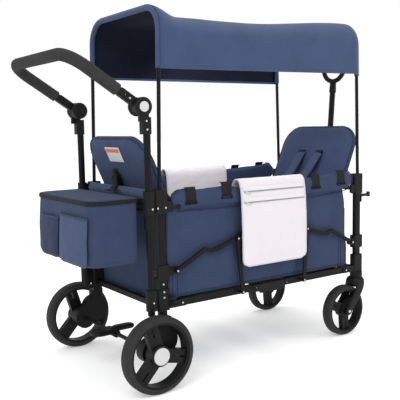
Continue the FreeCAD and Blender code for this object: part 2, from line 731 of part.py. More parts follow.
def basket():
    """A cloth basket, open at the top."""
    long = "basket_far - basket_near"
    x = "-(basket_far + basket_near) / 2"
    outer = soft_block(
        "basket_outer", (long, "2 * basket_half", "basket_top - basket_foot"),
        (x, 0, "(basket_top + basket_foot) / 2"), 22, Z_AXIS,
    )
    inner = soft_block(
        "basket_inner", (f"{long} - 12", "2 * basket_half - 12", "basket_top - basket_foot"),
        (x, 0, "(basket_top + basket_foot) / 2 + 6"), 16, Z_AXIS,
    )
    return cut("basket_shell", outer, [inner])


def basket_lid():
    """The basket's lid, with a round hem along its hinge."""
    panel = soft_block(
        "lid_panel", ("basket_far - basket_near - 2", "2 * basket_half", "lid_thick"),
        ("-(basket_far + basket_near) / 2 - 1", 0, "lid_z"), 22, Z_AXIS,
    )
    hem = rod("lid_hem", 6, "2 * basket_half - 50", ("-basket_near", 0, "lid_z"))
    return fuse("lid_whole", [panel, hem])


keep("basket", basket())
keep("basket_lid", basket_lid())

# ---------------------------------------------------------------- pull handle, in its own upright frame

tube_low = rod("pull_tube_low", "pull_tube_r", "pull_tube_end", (0, 0, "pull_tube_end / 2"), "z")
tube_end = rod("pull_collar", "pull_tube_r + 4", 40, (0, 0, "pull_tube_end - 20"), "z")
bore_middle = (0, 0, "pull_tube_end / 2 + 22")
tube_bore = rod("pull_tube_bore", "pull_rod_r + pull_fit", "pull_tube_end", bore_middle, "z")
pivot_bore = rod("pull_pivot_bore", "bore_r", 60, (0, 0, 0))
pivot_end = rod("pull_pivot_end", 17, 32, (0, 0, 0))
pull_blank = fuse("pull_tube_blank", [tube_low, tube_end, pivot_end])
pull_outer = cut("pull_tube_bored", pull_blank, [tube_bore, pivot_bore])
shaft_middle = (0, 0, "(pull_rod_end + pull_rod_start) / 2")
shaft = rod("pull_shaft", "pull_rod_r", "pull_rod_end - pull_rod_start", shaft_middle, "z")
stem = cone("pull_stem", 15, 13, 42, (0, 0, "pull_rod_end - 42"))
stem_bore = rod("pull_stem_bore", "pull_rod_r", 60, (0, 0, "pull_rod_end - 30"), "z")
ring_middle = (0, 0, "pull_rod_end + ring_rise")
ring = bend("pull_ring", "ring_r", "ring_tube_r", ring_middle, FreeCAD.Rotation(Y_AXIS, 90), 360)
grip_parts = fuse("pull_grip_blank", [cut("pull_stem_sleeve", stem, [stem_bore]), ring])
rod_space = rod("pull_rod_space", "pull_rod_r", 120, (0, 0, "pull_rod_end - 60"), "z")
pull_hand = cut("pull_grip_whole", grip_parts, [rod_space])
for name, solids in (("pull_tube", pull_outer), ("pull_rod", shaft), ("pull_grip", pull_hand)):
    keep(name, solids, "pull_x", "pull_z", "pull_lean")

# ---------------------------------------------------------------- cup-holder hook on the front right post

hook_arm = block("hook_arm", (54, 12, 10), ("post_x + 47", "-post_y", 561))
hook_tip = block("hook_tip", (8, 12, 20), ("post_x + 70", "-post_y", 563))
hook_plate = block("hook_plate", (4, 18, 34), ("post_x + 20", "-post_y", 552))
hook_blank = fuse("hook_blank", [hook_arm, hook_tip, hook_plate])
keep("accessory_hook", cut("accessory_hook_whole", hook_blank, [doc.getObject("front_right_post")]))

# ---------------------------------------------------------------- check and write

doc.recompute()
failed = [
    (thing.Name, thing.getStatusString())
    for thing in doc.Objects if {"Invalid", "Error"} & set(thing.State)
]
if failed:
    raise SystemExit(f"these objects failed: {failed}")
for thing in sub_parts:
    if thing.Label != thing.Name:
        raise SystemExit(f"{thing.Name} shares its name with another object")
    if thing.Shape.isNull() or not thing.Shape.isValid() or not thing.Shape.Solids:
        raise SystemExit(f"{thing.Label} has no valid solid")
    thing.Shape.exportStep(f"parts/{thing.Label}.step")
print(len(sub_parts), "sub-parts written")
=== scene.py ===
"""Looks of a folding two-seat pull wagon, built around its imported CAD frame.

Everything is in metres and in the frame of the part: +X is the front, +Y the left side, +Z up.
"""

from math import atan2, copysign, cos, dist, exp, floor, hypot, pi, radians, sin, sqrt, tan

import bmesh
import bpy
from mathutils import Matrix, Vector, noise


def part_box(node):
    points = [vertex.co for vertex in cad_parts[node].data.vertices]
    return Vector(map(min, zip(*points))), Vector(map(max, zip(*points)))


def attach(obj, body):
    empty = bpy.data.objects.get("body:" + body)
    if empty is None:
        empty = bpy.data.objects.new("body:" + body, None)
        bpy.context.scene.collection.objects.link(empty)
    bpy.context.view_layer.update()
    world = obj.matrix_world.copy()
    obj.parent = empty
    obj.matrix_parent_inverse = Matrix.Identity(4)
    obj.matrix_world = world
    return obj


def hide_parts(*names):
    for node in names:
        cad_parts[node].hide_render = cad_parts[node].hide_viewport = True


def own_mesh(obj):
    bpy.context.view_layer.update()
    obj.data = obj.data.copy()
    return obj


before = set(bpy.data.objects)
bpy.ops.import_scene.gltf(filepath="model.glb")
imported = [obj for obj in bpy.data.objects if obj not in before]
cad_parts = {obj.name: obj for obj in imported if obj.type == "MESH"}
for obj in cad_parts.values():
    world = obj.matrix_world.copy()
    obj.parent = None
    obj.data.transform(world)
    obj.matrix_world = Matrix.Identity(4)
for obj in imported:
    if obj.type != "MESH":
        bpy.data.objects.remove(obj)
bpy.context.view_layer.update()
MM = 0.001
SIDES = (("right", -1), ("left", 1))
MIRROR = Matrix.Scale(-1, 4, (0, 1, 0))

# Places that several pieces share, read from the frame.
TUB_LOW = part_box("tub")[0]
HOOP_LOW, HOOP_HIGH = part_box("rear_hoop")
FRONT_HOOP_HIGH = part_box("front_hoop")[1]
CANOPY_LOW, CANOPY_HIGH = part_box("canopy")
PAD_LOW, PAD_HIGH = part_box("side_pads")
BASKET_LOW, BASKET_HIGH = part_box("basket")
LID_LOW, LID_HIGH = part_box("basket_lid")
ROLL_LOW, ROLL_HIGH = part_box("rim_roll")
MIDDLE_X = (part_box("rear_post_right")[0].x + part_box("front_post_right")[1].x) / 2

# How far the front frame travels back as the wagon folds, and for the cloth the X it would crumple towards and how
# much it keeps; nothing here crumples it.
FRONT_TRAVEL = 0.485
WALL_X = TUB_LOW.x - 8 * MM
WALL_FOLD = (WALL_X, 1 - FRONT_TRAVEL / (MIDDLE_X + 0.402 - WALL_X))
CANOPY_FOLD = (CANOPY_LOW.x, 1 - FRONT_TRAVEL / (CANOPY_HIGH.x - CANOPY_LOW.x))


# ---- curves and sections

def mix(a, b, share):
    """The value that lies that share of the way from a to b."""
    return a + (b - a) * share


def spread(a, b, count):
    """Evenly spaced values from a to b, both included."""
    return [mix(a, b, i / count) for i in range(count + 1)]


def ease(share):
    """A smooth step from 0 to 1."""
    share = min(1.0, max(0.0, share))
    return share * share * (3 - 2 * share)


def hump(share, power=4):
    """0 at both ends of a stretch and 1 in its middle, flat there for a high power."""
    return 1 - abs(2 * min(1.0, max(0.0, share)) - 1) ** power


def crumple(point, size, seed=0.0):
    """A gentle random value from about -1 to 1 that changes over the given size."""
    return noise.noise(Vector(point) / size + Vector((seed, seed * 0.7, -seed)))


def spline(points, steps=6):
    """Points of a smooth curve through the given ones."""
    points = [Vector(p) for p in points]
    found = []
    for i in range(len(points) - 1):
        a, b, c, d = (points[min(max(j, 0), len(points) - 1)] for j in range(i - 1, i + 3))
        for u in spread(0, 1, steps)[:-1]:
            bend = (2 * a - 5 * b + 4 * c - d) * u * u + (3 * b - a - 3 * c + d) * u ** 3
            found.append(0.5 * (2 * b + (c - a) * u + bend))
    return found + points[-1:]


def level(knots, at):
    """The height at a place along a line of (place, height) knots, eased between them."""
    if at <= knots[0][0]:
        return knots[0][1]
    for (a, low), (b, high) in zip(knots, knots[1:]):
        if at <= b:
            return mix(low, high, ease((at - a) / (b - a)))
    return knots[-1][1]


def round_off(edge, radius):
    """How far a rounded corner pulls in at a distance from its end: the radius there, 0 past the corner."""
    share = 1 - min(max(edge / radius, 0.0), 1.0)
    return radius * (1 - sqrt(1 - share * share))


def turns(count):
    """Unit vectors evenly round a circle."""
    return [(cos(2 * pi * i / count), sin(2 * pi * i / count)) for i in range(count)]


def circle(radius, count=12):
    """A round section."""
    return [(radius * c, radius * s) for c, s in turns(count)]


def oblong(wide, tall, power=5, count=24):
    """A flat section with soft corners."""
    bend = 2 / power
    return [
        (wide / 2 * copysign(abs(c) ** bend, c), tall / 2 * copysign(abs(s) ** bend, s)) for c, s in turns(count)
    ]


def arcs(corners, steps):
    """Points along an outline's round corners, each given as (x, y, radius, first angle)."""
    found = []
    for x, y, radius, start in corners:
        for turn in spread(radians(start), radians(start + 90), steps):
            found.append((x + radius * cos(turn), y + radius * sin(turn)))
    return found


def fill(ring, parts):
    """The ring with points along its edges too; parts says into how many an edge of some length is cut."""
    found = []
    for a, b in zip(ring, ring[1:] + ring[:1]):
        count = parts(dist(a, b))
        found += [(mix(a[0], b[0], i / count), mix(a[1], b[1], i / count)) for i in range(count)]
    return found


def every(step):
    """Cuts an edge into parts of about one step."""
    return lambda long: max(1, round(long / step))


QUARTERS = ((1, 1, 0), (-1, 1, 90), (-1, -1, 180), (1, -1, 270))


def round_box(wide, tall, radius, steps=6, edge=6):
    """The outline of a rounded rectangle about the origin, with points along its edges too."""
    corners = [(sx * (wide / 2 - radius), sy * (tall / 2 - radius), radius, start) for sx, sy, start in QUARTERS]
    return fill(arcs(corners, steps), lambda long: edge if long > 1.25 * pi * radius / steps else 1)


# ---- meshes

def link(name, data):
    """An object that holds the data, in the scene."""
    thing = bpy.data.objects.new(name, data)
    bpy.context.scene.collection.objects.link(thing)
    return thing


def made(name, form):
    """Ends a form in the making as a smooth piece."""
    mesh = bpy.data.meshes.new(name)
    form.to_mesh(mesh)
    form.free()
    mesh.shade_smooth()
    return link(name, mesh)


def face_out(piece):
    """Turns the faces of a closed form outwards."""
    form = bmesh.new()
    form.from_mesh(piece.data)
    bmesh.ops.recalc_face_normals(form, faces=form.faces)
    form.to_mesh(piece.data)
    form.free()
    return piece


def net(name, rows, wrap=False, caps=False):
    """A surface through rows of points. wrap joins each row to its own start, caps closes both ends."""
    width = len(rows[0])
    points = [tuple(p) for row in rows for p in row]
    faces = []
    for i in range(len(rows) - 1):
        for j in range(width if wrap else width - 1):
            k = (j + 1) % width
            faces.append((i * width + j, i * width + k, (i + 1) * width + k, (i + 1) * width + j))
    if caps:
        faces.append(tuple(reversed(range(width))))
        faces.append(tuple(range(len(points) - width, len(points))))
    mesh = bpy.data.meshes.new(name)
    mesh.from_pydata(points, [], faces)
    mesh.update()
    mesh.shade_smooth()
    piece = link(name, mesh)
    return face_out(piece) if caps else piece


def sweep(name, path, section, closed=False, side=None):
    """A solid that follows a path. side fixes the direction of the section's first axis."""
    path = [Vector(p) for p in path]
    count = len(path)
    up = None
    rows = []
    for i, place in enumerate(path):
        before = path[i - 1] if i or closed else place
        after = path[(i + 1) % count] if i < count - 1 or closed else place
        tangent = (after - before).normalized()
        if side is not None:
            across = Vector(side)
            across = (across - tangent * across.dot(tangent)).normalized()
        else:
            if up is None:
                up = Vector((0, 0, 1)) if abs(tangent.z) < 0.9 else Vector((1, 0, 0))
            across = tangent.cross(up).normalized()
        up = across.cross(tangent)
        rows.append([place + across * a + up * b for a, b in section])
    if closed:
        return face_out(net(name, rows + rows[:1], wrap=True))
    return net(name, rows, wrap=True, caps=True)


def lathe(name, profile, centre, axis, count):
    """A turned form: its profile's points are (radius, distance along the axis)."""
    axis = Vector(axis)
    across = axis.orthogonal().normalized()
    other = axis.cross(across)
    return net(name, [
        [Vector(centre) + axis * along + (across * c + other * s) * radius for c, s in turns(count)]
        for radius, along in profile
    ], wrap=True, caps=True)


def slab(name, outline, thick, place, soft=0.4, rings=5):
    """A closed pad, crowned to its thickness. place maps (u, v, height) of its outline's plane to the frame."""
    mid_u = sum(p[0] for p in outline) / len(outline)
    mid_v = sum(p[1] for p in outline) / len(outline)
    rows = []
    climb = [(1, i) for i in range(rings + 1)] + [(-1, i) for i in reversed(range(rings))]
    for sign, i in climb:
        turn = i / rings * pi / 2
        inset = min(1 - sin(turn) ** soft, 0.92)
        tall = sign * thick / 2 * cos(turn) ** soft if i < rings else 0
        rows.append([place(mix(u, mid_u, inset), mix(v, mid_v, inset), tall) for u, v in outline])
    return net(name, rows, wrap=True, caps=True)


def brick(size, place, bevel):
    """A small moulded block with rounded edges; place is its centre or its matrix."""
    if not isinstance(place, Matrix):
        place = Matrix.Translation(place)
    form = bmesh.new()
    bmesh.ops.create_cube(form, size=1)
    bmesh.ops.scale(form, vec=Vector(size), verts=form.verts)
    bmesh.ops.bevel(form, geom=list(form.edges), offset=bevel, segments=3, profile=0.5, affect="EDGES")
    bmesh.ops.transform(form, matrix=place, verts=form.verts)
    return made("block", form)


def join(name, pieces):
    """Several pieces as one mesh."""
    form = bmesh.new()
    for piece in pieces:
        form.from_mesh(piece.data)
        bpy.data.objects.remove(piece)
    return made(name, form)


def copy_of(piece, name, matrix):
    """A copy in another place. A mirrored copy keeps its faces outwards."""
    mesh = piece.data.copy()
    mesh.transform(matrix)
    if matrix.determinant() < 0:
        mesh.flip_normals()
    return link(name, mesh)


def bake_shape(piece):
    """Applies the piece's modifiers."""
    mesh = bpy.data.meshes.new_from_object(piece.evaluated_get(bpy.context.evaluated_depsgraph_get()))
    old = piece.data
    piece.modifiers.clear()
    piece.data = mesh
    bpy.data.meshes.remove(old)


def modify(piece, kind, **settings):
    """Adds one modifier and applies it."""
    modifier = piece.modifiers.new(kind, kind)
    for key, value in settings.items():
        setattr(modifier, key, value)
    bake_shape(piece)
    return piece


def thicken(piece, thick, offset=-1.0, inner=0):
    """Gives a surface a cloth's thickness; inner is the step to the material of its other face."""
    for _ in range(inner + 1 if inner else 0):
        piece.data.materials.append(None)
    return modify(
        piece, "SOLIDIFY", thickness=thick, offset=offset, material_offset=inner, material_offset_rim=0,
    )


def puff(piece, most, voxel, pressure):
    """Swells a closed form as stuffing does: cloth under pressure, with no point moved further than most."""
    modify(piece, "REMESH", mode="VOXEL", voxel_size=voxel)
    rest = [v.co.copy() for v in piece.data.vertices]
    cloth = piece.modifiers.new("cloth", "CLOTH")
    cloth.settings.use_pressure = True
    cloth.settings.uniform_pressure_force = pressure
    cloth.settings.effector_weights.gravity = 0
    cloth.point_cache.frame_start = 1
    cloth.point_cache.frame_end = 20
    for step in range(1, 21):
        bpy.context.scene.frame_set(step)
    bake_shape(piece)
    for vertex, start in zip(piece.data.vertices, rest):
        moved = vertex.co - start
        if moved.length > most:
            vertex.co = start + moved * (most / moved.length)
    bpy.context.scene.frame_set(1)
    modify(piece, "SMOOTH", factor=0.5, iterations=3)
    modify(piece, "SUBSURF", levels=1, render_levels=1)
    piece.data.shade_smooth()


def pull_in(piece, lines, depth, wide):
    """Presses sewn lines into a pad: each line is a function of a point, zero on the seam."""
    normals = [vertex.normal.copy() for vertex in piece.data.vertices]
    for vertex, normal in zip(piece.data.vertices, normals):
        vertex.co -= normal * depth * max(exp(-(line(vertex.co) / wide) ** 2) for line in lines)
    piece.data.update()


# ---- materials

def rgb(red, green, blue):
    """A linear colour from the usual 0 to 255 values."""
    def linear(value):
        value /= 255
        return value / 12.92 if value <= 0.04045 else ((value + 0.055) / 1.055) ** 2.4
    return (linear(red), linear(green), linear(blue), 1)


class Finish:
    """A material's nodes, with short calls to add and join them."""

    def __init__(self, name, roughness, metallic=0.0, specular=0.5, sheen=0.0):
        self.material = bpy.data.materials.new(name)
        self.material.use_nodes = True
        self.tree = self.material.node_tree
        self.shader = next(n for n in self.tree.nodes if n.type == "BSDF_PRINCIPLED")
        for key, value in (
            ("Roughness", roughness), ("Metallic", metallic), ("Specular IOR Level", specular),
            ("Sheen Weight", sheen), ("Sheen Roughness", 0.5),
        ):
            self.shader.inputs[key].default_value = value
        self.place = self.add("ShaderNodeTexCoord", {}).outputs["Object"]
        self.height = None

    def add(self, kind, inputs, operation=None):
        """A node, with each input linked to a socket or set to a constant."""
        node = self.tree.nodes.new(kind)
        if operation:
            node.operation = operation
        for key, value in inputs.items():
            if isinstance(value, bpy.types.NodeSocket):
                self.tree.links.new(value, node.inputs[key])
            else:
                node.inputs[key].default_value = value
        return node

    def noise(self, size, detail=3.0, rough=0.55):
        """Noise that changes over the given size."""
        settings = {"Vector": self.place, "Scale": 1 / size, "Detail": detail, "Roughness": rough}
        return self.add("ShaderNodeTexNoise", settings).outputs["Fac"]

    def total(self, first, share, second):
        """A share of one value and the rest of another."""
        parts = [
            self.add("ShaderNodeMath", {0: value, 1: part}, "MULTIPLY").outputs[0]
            for value, part in ((first, share), (second, 1 - share))
        ]
        return self.add("ShaderNodeMath", dict(enumerate(parts)), "ADD").outputs[0]

    def weave(self, pitch, lean=(1, 1, 1)):
        """Threads crossing over and under, on a face in any direction."""
        kind = "ShaderNodeVectorMath"
        scaled = self.add(kind, {0: self.place, "Scale": 2 * pi / pitch}, "SCALE").outputs[0]
        sines = self.add(kind, {0: scaled}, "SINE").outputs[0]
        return self.add(kind, {0: sines, 1: lean}, "DOT_PRODUCT").outputs["Value"]

    def tint(self, value, colour, span, dark, pale):
        """The base colour, from a darker to a paler shade of one colour as a value crosses a span."""
        node = self.add("ShaderNodeValToRGB", {"Fac": value})
        for edge, place, by in zip(node.color_ramp.elements, span, (dark, pale)):
            edge.position = place
            edge.color = tuple(min(1.0, c * by) for c in colour[:3]) + (1,)
        self.tree.links.new(node.outputs["Color"], self.shader.inputs["Base Color"])

    def rough(self, value, low, high):
        """Roughness that follows a value."""
        node = self.add("ShaderNodeMapRange", {"Value": value, "To Min": low, "To Max": high})
        self.tree.links.new(node.outputs[0], self.shader.inputs["Roughness"])

    def bump(self, value, deep, strength):
        """Relief of the given depth, on top of what is there."""
        node = self.add("ShaderNodeBump", {"Height": value, "Strength": strength, "Distance": deep})
        if self.height is not None:
            self.tree.links.new(self.height, node.inputs["Normal"])
        self.height = node.outputs["Normal"]
        self.tree.links.new(self.height, self.shader.inputs["Normal"])


def fabric(name, colour, pitch=1.4 * MM, heather=0.16, crease=1.6 * MM, sheen=0.05, weave=0.3):
    """Woven polyester: crossed threads, heathered yarn, faded patches and soft creases."""
    cloth = Finish(name, 0.86, sheen=sheen, specular=0.08)
    yarn = cloth.noise(3.2 * MM, detail=2, rough=0.7)
    patches = cloth.noise(90 * MM, detail=2)
    cloth.tint(cloth.total(yarn, 0.6, patches), colour, (0.32, 0.68), 1 - heather, 1 + heather)
    cloth.rough(yarn, 0.79, 0.93)
    cloth.bump(cloth.noise(55 * MM, rough=0.5), crease * 2.2, 0.35)
    cloth.bump(cloth.weave(pitch), 0.12 * MM, weave)
    return cloth.material


def webbing(name, colour, pitch=2.6 * MM):
    """Narrow ribbed tape."""
    tape = Finish(name, 0.75, sheen=0.02, specular=0.12)
    tape.tint(tape.noise(4 * MM, detail=2), colour, (0.35, 0.65), 0.8, 1.25)
    tape.bump(tape.weave(pitch, (1, 1, 0.4)), 0.35 * MM, 0.5)
    return tape.material


def moulded(name, colour, roughness, grain, deep=0.08 * MM, vary=0.12, specular=0.5):
    """Moulded plastic or powder-coated metal with a fine grain, a little worn."""
    skin = Finish(name, roughness, specular=specular)
    wear = skin.noise(35 * MM, detail=4, rough=0.6)
    skin.tint(wear, colour, (0.3, 0.7), 1 - vary, 1 + vary)
    skin.rough(wear, roughness - 0.06, roughness + 0.08)
    skin.bump(skin.noise(grain, detail=2), deep, 0.5)
    return skin.material


def metal(name, colour, roughness):
    """Plated steel with fine scratches."""
    plate = Finish(name, roughness, metallic=1.0)
    scratch = plate.noise(2.5 * MM, detail=4, rough=0.7)
    plate.tint(scratch, colour, (0.3, 0.7), 0.85, 1)
    plate.rough(scratch, roughness - 0.1, roughness + 0.12)
    plate.bump(scratch, 0.03 * MM, 0.3)
    return plate.material


cloth_navy = fabric("cloth_navy_weave", rgb(51, 62, 88))
cloth_top = fabric("cloth_canopy", rgb(58, 73, 104), crease=1.0 * MM, sheen=0.12)
# The canopy's underside colour: partly the lining's own dark navy, partly painted shade of the space under the
# canopy.
cloth_lining_painted_shade = fabric("cloth_lining_painted_shade", rgb(25, 29, 42), crease=1.0 * MM, sheen=0.0)
cloth_seat = fabric("cloth_seat", rgb(60, 71, 100), crease=2.0 * MM)
cloth_piping = fabric("cloth_piping", rgb(43, 51, 76), pitch=1.0 * MM, crease=0.2 * MM)
cloth_mesh = fabric("cloth_mesh", rgb(44, 53, 78), pitch=3.2 * MM, weave=0.9, crease=0.8 * MM)
cloth_mesh_pale = fabric("cloth_mesh_pale", rgb(62, 75, 103), pitch=4.2 * MM, weave=1.0, crease=0.8 * MM)
cloth_white = fabric("cloth_white_weave", rgb(216, 211, 215), heather=0.03, crease=1.4 * MM)
cloth_white_edge = fabric(
    "cloth_white_piping", rgb(196, 193, 200), pitch=1.0 * MM, heather=0.03, crease=0.2 * MM,
)
floor_cloth = fabric("cloth_floor", rgb(36, 42, 60), crease=1.0 * MM)
tape_black = webbing("webbing_black", rgb(30, 30, 30))
tape_blank = fabric("patch_blank", rgb(206, 206, 206), heather=0.02, crease=0.1 * MM)
zip_grey = webbing("zip_tape_grey", rgb(150, 152, 158), pitch=2.0 * MM)
patch_orange = fabric("patch_strip", rgb(214, 120, 84), heather=0.04, crease=0.1 * MM)
paint_black = moulded("powder_coat", rgb(18, 18, 19), 0.42, 0.7 * MM, specular=0.12)
plastic_black = moulded("plastic_grained", rgb(22, 22, 22), 0.5, 1.1 * MM, deep=0.12 * MM, specular=0.14)
rubber_black = moulded("tyre_rubber", rgb(45, 45, 45), 0.75, 2.2 * MM, deep=0.15 * MM, specular=0.15)
foam_black = moulded("grip_foam_skin", rgb(50, 50, 50), 0.85, 1.4 * MM, deep=0.35 * MM, specular=0.12)
cap_grey = moulded("cap_grey", rgb(196, 196, 196), 0.4, 0.8 * MM, deep=0.03 * MM, vary=0.03)
steel = metal("rivet_steel", rgb(205, 205, 205), 0.3)

CAD_FINISH = {
    "frame_black": paint_black, "plastic_black": plastic_black, "grip_foam": foam_black,
    "tyre_black": rubber_black, "trim_silver": cap_grey, "cloth_navy": cloth_navy,
    "cloth_white": cloth_white, "floor_board": floor_cloth,
}
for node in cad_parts.values():
    for place in node.material_slots:
        place.material = CAD_FINISH.get(place.material.name.split(".")[0], plastic_black)


def dress(piece, material, body="rear_frame", fold=None):
    """Gives a piece its material and body. fold is the X it would crumple towards and how much it keeps; only
    whether it is given is read, and then the piece gets a mesh of its own.
    """
    if isinstance(material, tuple):
        for place, one in enumerate(material):
            piece.data.materials[place] = one
    else:
        piece.data.materials.clear()
        piece.data.materials.append(material)
    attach(piece, body)
    if fold is not None:
        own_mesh(piece)
    return piece


# ---- canopy

HOOP_R = 6.5 * MM
HOOP_CORNER = 80 * MM
SLEEVE_R = 9.5 * MM
HOOP_LEAN = radians(1.3)
HOOP_Y = HOOP_HIGH.y - HOOP_R
HOOP_TOP = HOOP_HIGH.z - HOOP_R
HEM_Z = CANOPY_LOW.z + 5 * MM
HEM_RISE = 8 * MM


def hoop_stations(foot):
    """Places on a hoop's line from one hem over the top to the other: (y, z, outward normal)."""
    crown_y, crown_z = HOOP_Y - HOOP_CORNER, HOOP_TOP - HOOP_CORNER
    leg = [(-HOOP_Y, z, (-1, 0)) for z in spread(foot, crown_z, 10)[:-1]]
    for turn in spread(0, pi / 2, 10)[:-1]:
        out = (-cos(turn), sin(turn))
        leg.append((-crown_y + HOOP_CORNER * out[0], crown_z + HOOP_CORNER * out[1], out))
    ridge = [(y, HOOP_TOP, (0, 1)) for y in spread(-crown_y, crown_y, 16)]
    return leg + ridge + [(-y, z, (-out[0], out[1])) for y, z, out in leg[::-1]]


def hoop_x(end, z):
    """Where a hoop's line is at a height: it leans towards the middle."""
    lean = tan(HOOP_LEAN) * (z - HOOP_LOW.z)
    return HOOP_LOW.x + HOOP_R + lean if end < 0 else FRONT_HOOP_HIGH.x - HOOP_R - lean


def sagged(y, z, normal, share):
    """Where the cloth of a station hangs, that share of the way from the rear hoop to the front one."""
    bow = ease(share / 0.12) * (1 - ease((share - 0.42) / 0.58))
    high = ease((z - HEM_Z - 0.06) / (HOOP_TOP - HEM_Z - 0.06))
    lift = HEM_RISE * share * (1 - high) if y < 0 else -3 * MM * (1 - high)
    drop = bow * 0.032 * high - lift
    pinch = 1 - bow * (0.022 + 0.022 * high) if abs(y) > HOOP_Y - HOOP_CORNER else 1 - bow * 0.05 * high
    reach = SLEEVE_R + 0.9 * MM * crumple((share * 0.9, y, z), 0.07, 3) * bow
    along = mix(hoop_x(-1, z), hoop_x(1, z), share)
    return Vector((along, y * pinch + normal[0] * reach, z - drop + normal[1] * reach))


def length(row):
    """How long a line of points is."""
    return sum((b - a).length for a, b in zip(row, row[1:]))


def canopy_cloth():
    """One sheet over both hoops, sagging between them, with a dark lining that is partly painted shade, and a hem
    along each side.
    """
    shares = spread(0, 1, 44)
    rows = [[sagged(y, z, normal, share) for y, z, normal in hoop_stations(HEM_Z)] for share in shares]
    cloth = thicken(net("canopy_cloth", rows), 1.6 * MM, inner=1)
    # The inner face gets the dark lining colour, which is partly painted shade.
    dress(cloth, (cloth_lining_painted_shade, cloth_top), fold=CANOPY_FOLD)
    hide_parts("canopy")
    hems = []
    for out in (-1, 1):
        path = [sagged(out * HOOP_Y, HEM_Z, (out, 0), share) + Vector((0, 0, 1 * MM)) for share in shares]
        hems.append(sweep("hem", path, oblong(4.2 * MM, 9 * MM)))
    hem = dress(join("canopy_side_hems", hems), cloth_top, fold=CANOPY_FOLD)


def canopy_sleeve(end, name, body):
    """The sleeve sewn round a hoop, from hem to hem."""
    path = [Vector((hoop_x(end, z), y, z)) for y, z, _ in hoop_stations(HEM_Z - 2 * MM)]
    rows = []
    across = Vector((1, 0, 0))
    for i, place in enumerate(path):
        out = (path[min(i + 1, len(path) - 1)] - path[max(i - 1, 0)]).normalized().cross(across).normalized()
        rows.append([place + across * a + out * b for a, b in circle(SLEEVE_R, 20)])
    sleeve = net(f"canopy_{name}_sleeve", rows, wrap=True)
    face = sleeve.data.polygons[0]
    thicken(sleeve, 1.4 * MM, offset=-1 if face.normal.dot(face.center - path[0]) > 0 else 1)
    dress(sleeve, cloth_top, body)


canopy_cloth()
canopy_sleeve(-1, "rear", "rear_frame")
canopy_sleeve(1, "front", "front_frame")


# ---- cloth body

LEFT_RISE = 16 * MM
FLOOR_Z = TUB_LOW.z
WALL_Y = 0.238
WALL_FRONT = MIDDLE_X + 0.401
WALL_CORNER = 9 * MM
WALL_HIGH, REAR_HIGH, FRONT_HIGH = 0.60, 0.575, 0.515
FRONT_FLARE = 14 * MM
WAVE_BAR = (
    (0, 0.488), (0.012, 0.488), (0.137, 0.478), (0.166, 0.460), (0.249, 0.433), (0.275, 0.429),
    (0.303, 0.437), (0.418, 0.379),
)
POCKETS = ((-0.402, -0.160), (-0.132, 0.128), (0.160, 0.362))
SEAMS_X = (-0.424, -0.405, -0.150, -0.138, 0.126, 0.137, 0.362, 0.374)


def raise_left(piece):
    """The left rim's padding stands a little higher than the right one's."""
    for vertex in piece.data.vertices:
        if vertex.co.y > 0.1:
            vertex.co.z += LEFT_RISE * ease((vertex.co.z - 0.54) / 0.09)
    piece.data.update()
    return piece


def wave_z(x):
    """Height of the wave bars at a place along the side."""
    away = abs(x - MIDDLE_X)
    for (a, low), (b, high) in zip(WAVE_BAR, WAVE_BAR[1:]):
        if away <= b:
            return mix(low, high, (away - a) / (b - a))
    return WAVE_BAR[-1][1]


def side_bulge(x, z):
    """How far a side wall swells outwards: less along the wave bars, more in the pockets below them."""
    along = (x - WALL_X) / (WALL_FRONT - WALL_X)
    up = (z - FLOOR_Z) / (WALL_HIGH - FLOOR_Z)
    bar = wave_z(x)
    swell = 5 * MM * hump(along, 6) * hump(up, 3) - 4 * MM * exp(-((z - bar) / 0.016) ** 2) * hump(along, 8)
    for start, end in POCKETS:
        share = (x - MIDDLE_X - start) / (end - start)
        if 0 < share < 1 and FLOOR_Z < z < bar:
            swell += 7.5 * MM * hump(share, 4) * hump((z - FLOOR_Z) / (bar - FLOOR_Z), 3)
    swell += 3.6 * MM * crumple((x, 0, z), 0.10, 5) * hump(along, 6) * hump(up, 4)
    swell += 2.6 * MM * crumple((x + z * 0.6, 0.3, z * 0.5), 0.04, 8) * hump(up, 4)
    return min(max(swell, -2 * MM), 15 * MM)


def wall_top(x):
    """The side walls rise to the guards, the rear wall is lower and the front wall lowest."""
    ends = (
        (WALL_X, REAR_HIGH), (WALL_X + 0.02, WALL_HIGH),
        (WALL_FRONT - 0.02, WALL_HIGH), (WALL_FRONT, FRONT_HIGH),
    )
    return level(ends, x)


def wall_foot(x):
    """The walls end above the folding rails; the rear wall reaches down to the low cross bar."""
    return level(((WALL_X, FLOOR_Z - 24 * MM), (WALL_X + 0.022, FLOOR_Z - 24 * MM), (WALL_X + 0.034, FLOOR_Z)), x)


def tub_shell():
    """The four walls as one sewn ring, bulging between the bars, paler inside."""
    long, wide = WALL_FRONT - WALL_X, 2 * WALL_Y
    ring = fill(round_box(long, wide, WALL_CORNER, steps=5, edge=1), every(0.0095))
    rows = []
    for up in spread(0, 1, 34):
        row = []
        for u, y in ring:
            x = (WALL_X + WALL_FRONT) / 2 + u
            z = mix(wall_foot(x), wall_top(x), up)
            if abs(y) > WALL_Y - 1 * MM:
                y = copysign(WALL_Y + side_bulge(x, z), y)
            elif abs(u) > long / 2 - 1 * MM:
                x += copysign(5 * MM * hump((y + WALL_Y) / wide, 3) * hump(up, 3), u)
                if u > 0:
                    x += FRONT_FLARE * ease((0.46 - z) / 0.12)
                x += 1.2 * MM * crumple((x, y, z), 0.05, 9)
            row.append(Vector((x, y, z)))
        rows.append(row)
    shell = thicken(net("body_walls", rows, wrap=True), 2.0 * MM, inner=1)
    dress(shell, (cloth_navy, cloth_seat), fold=WALL_FOLD)
    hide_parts("tub")


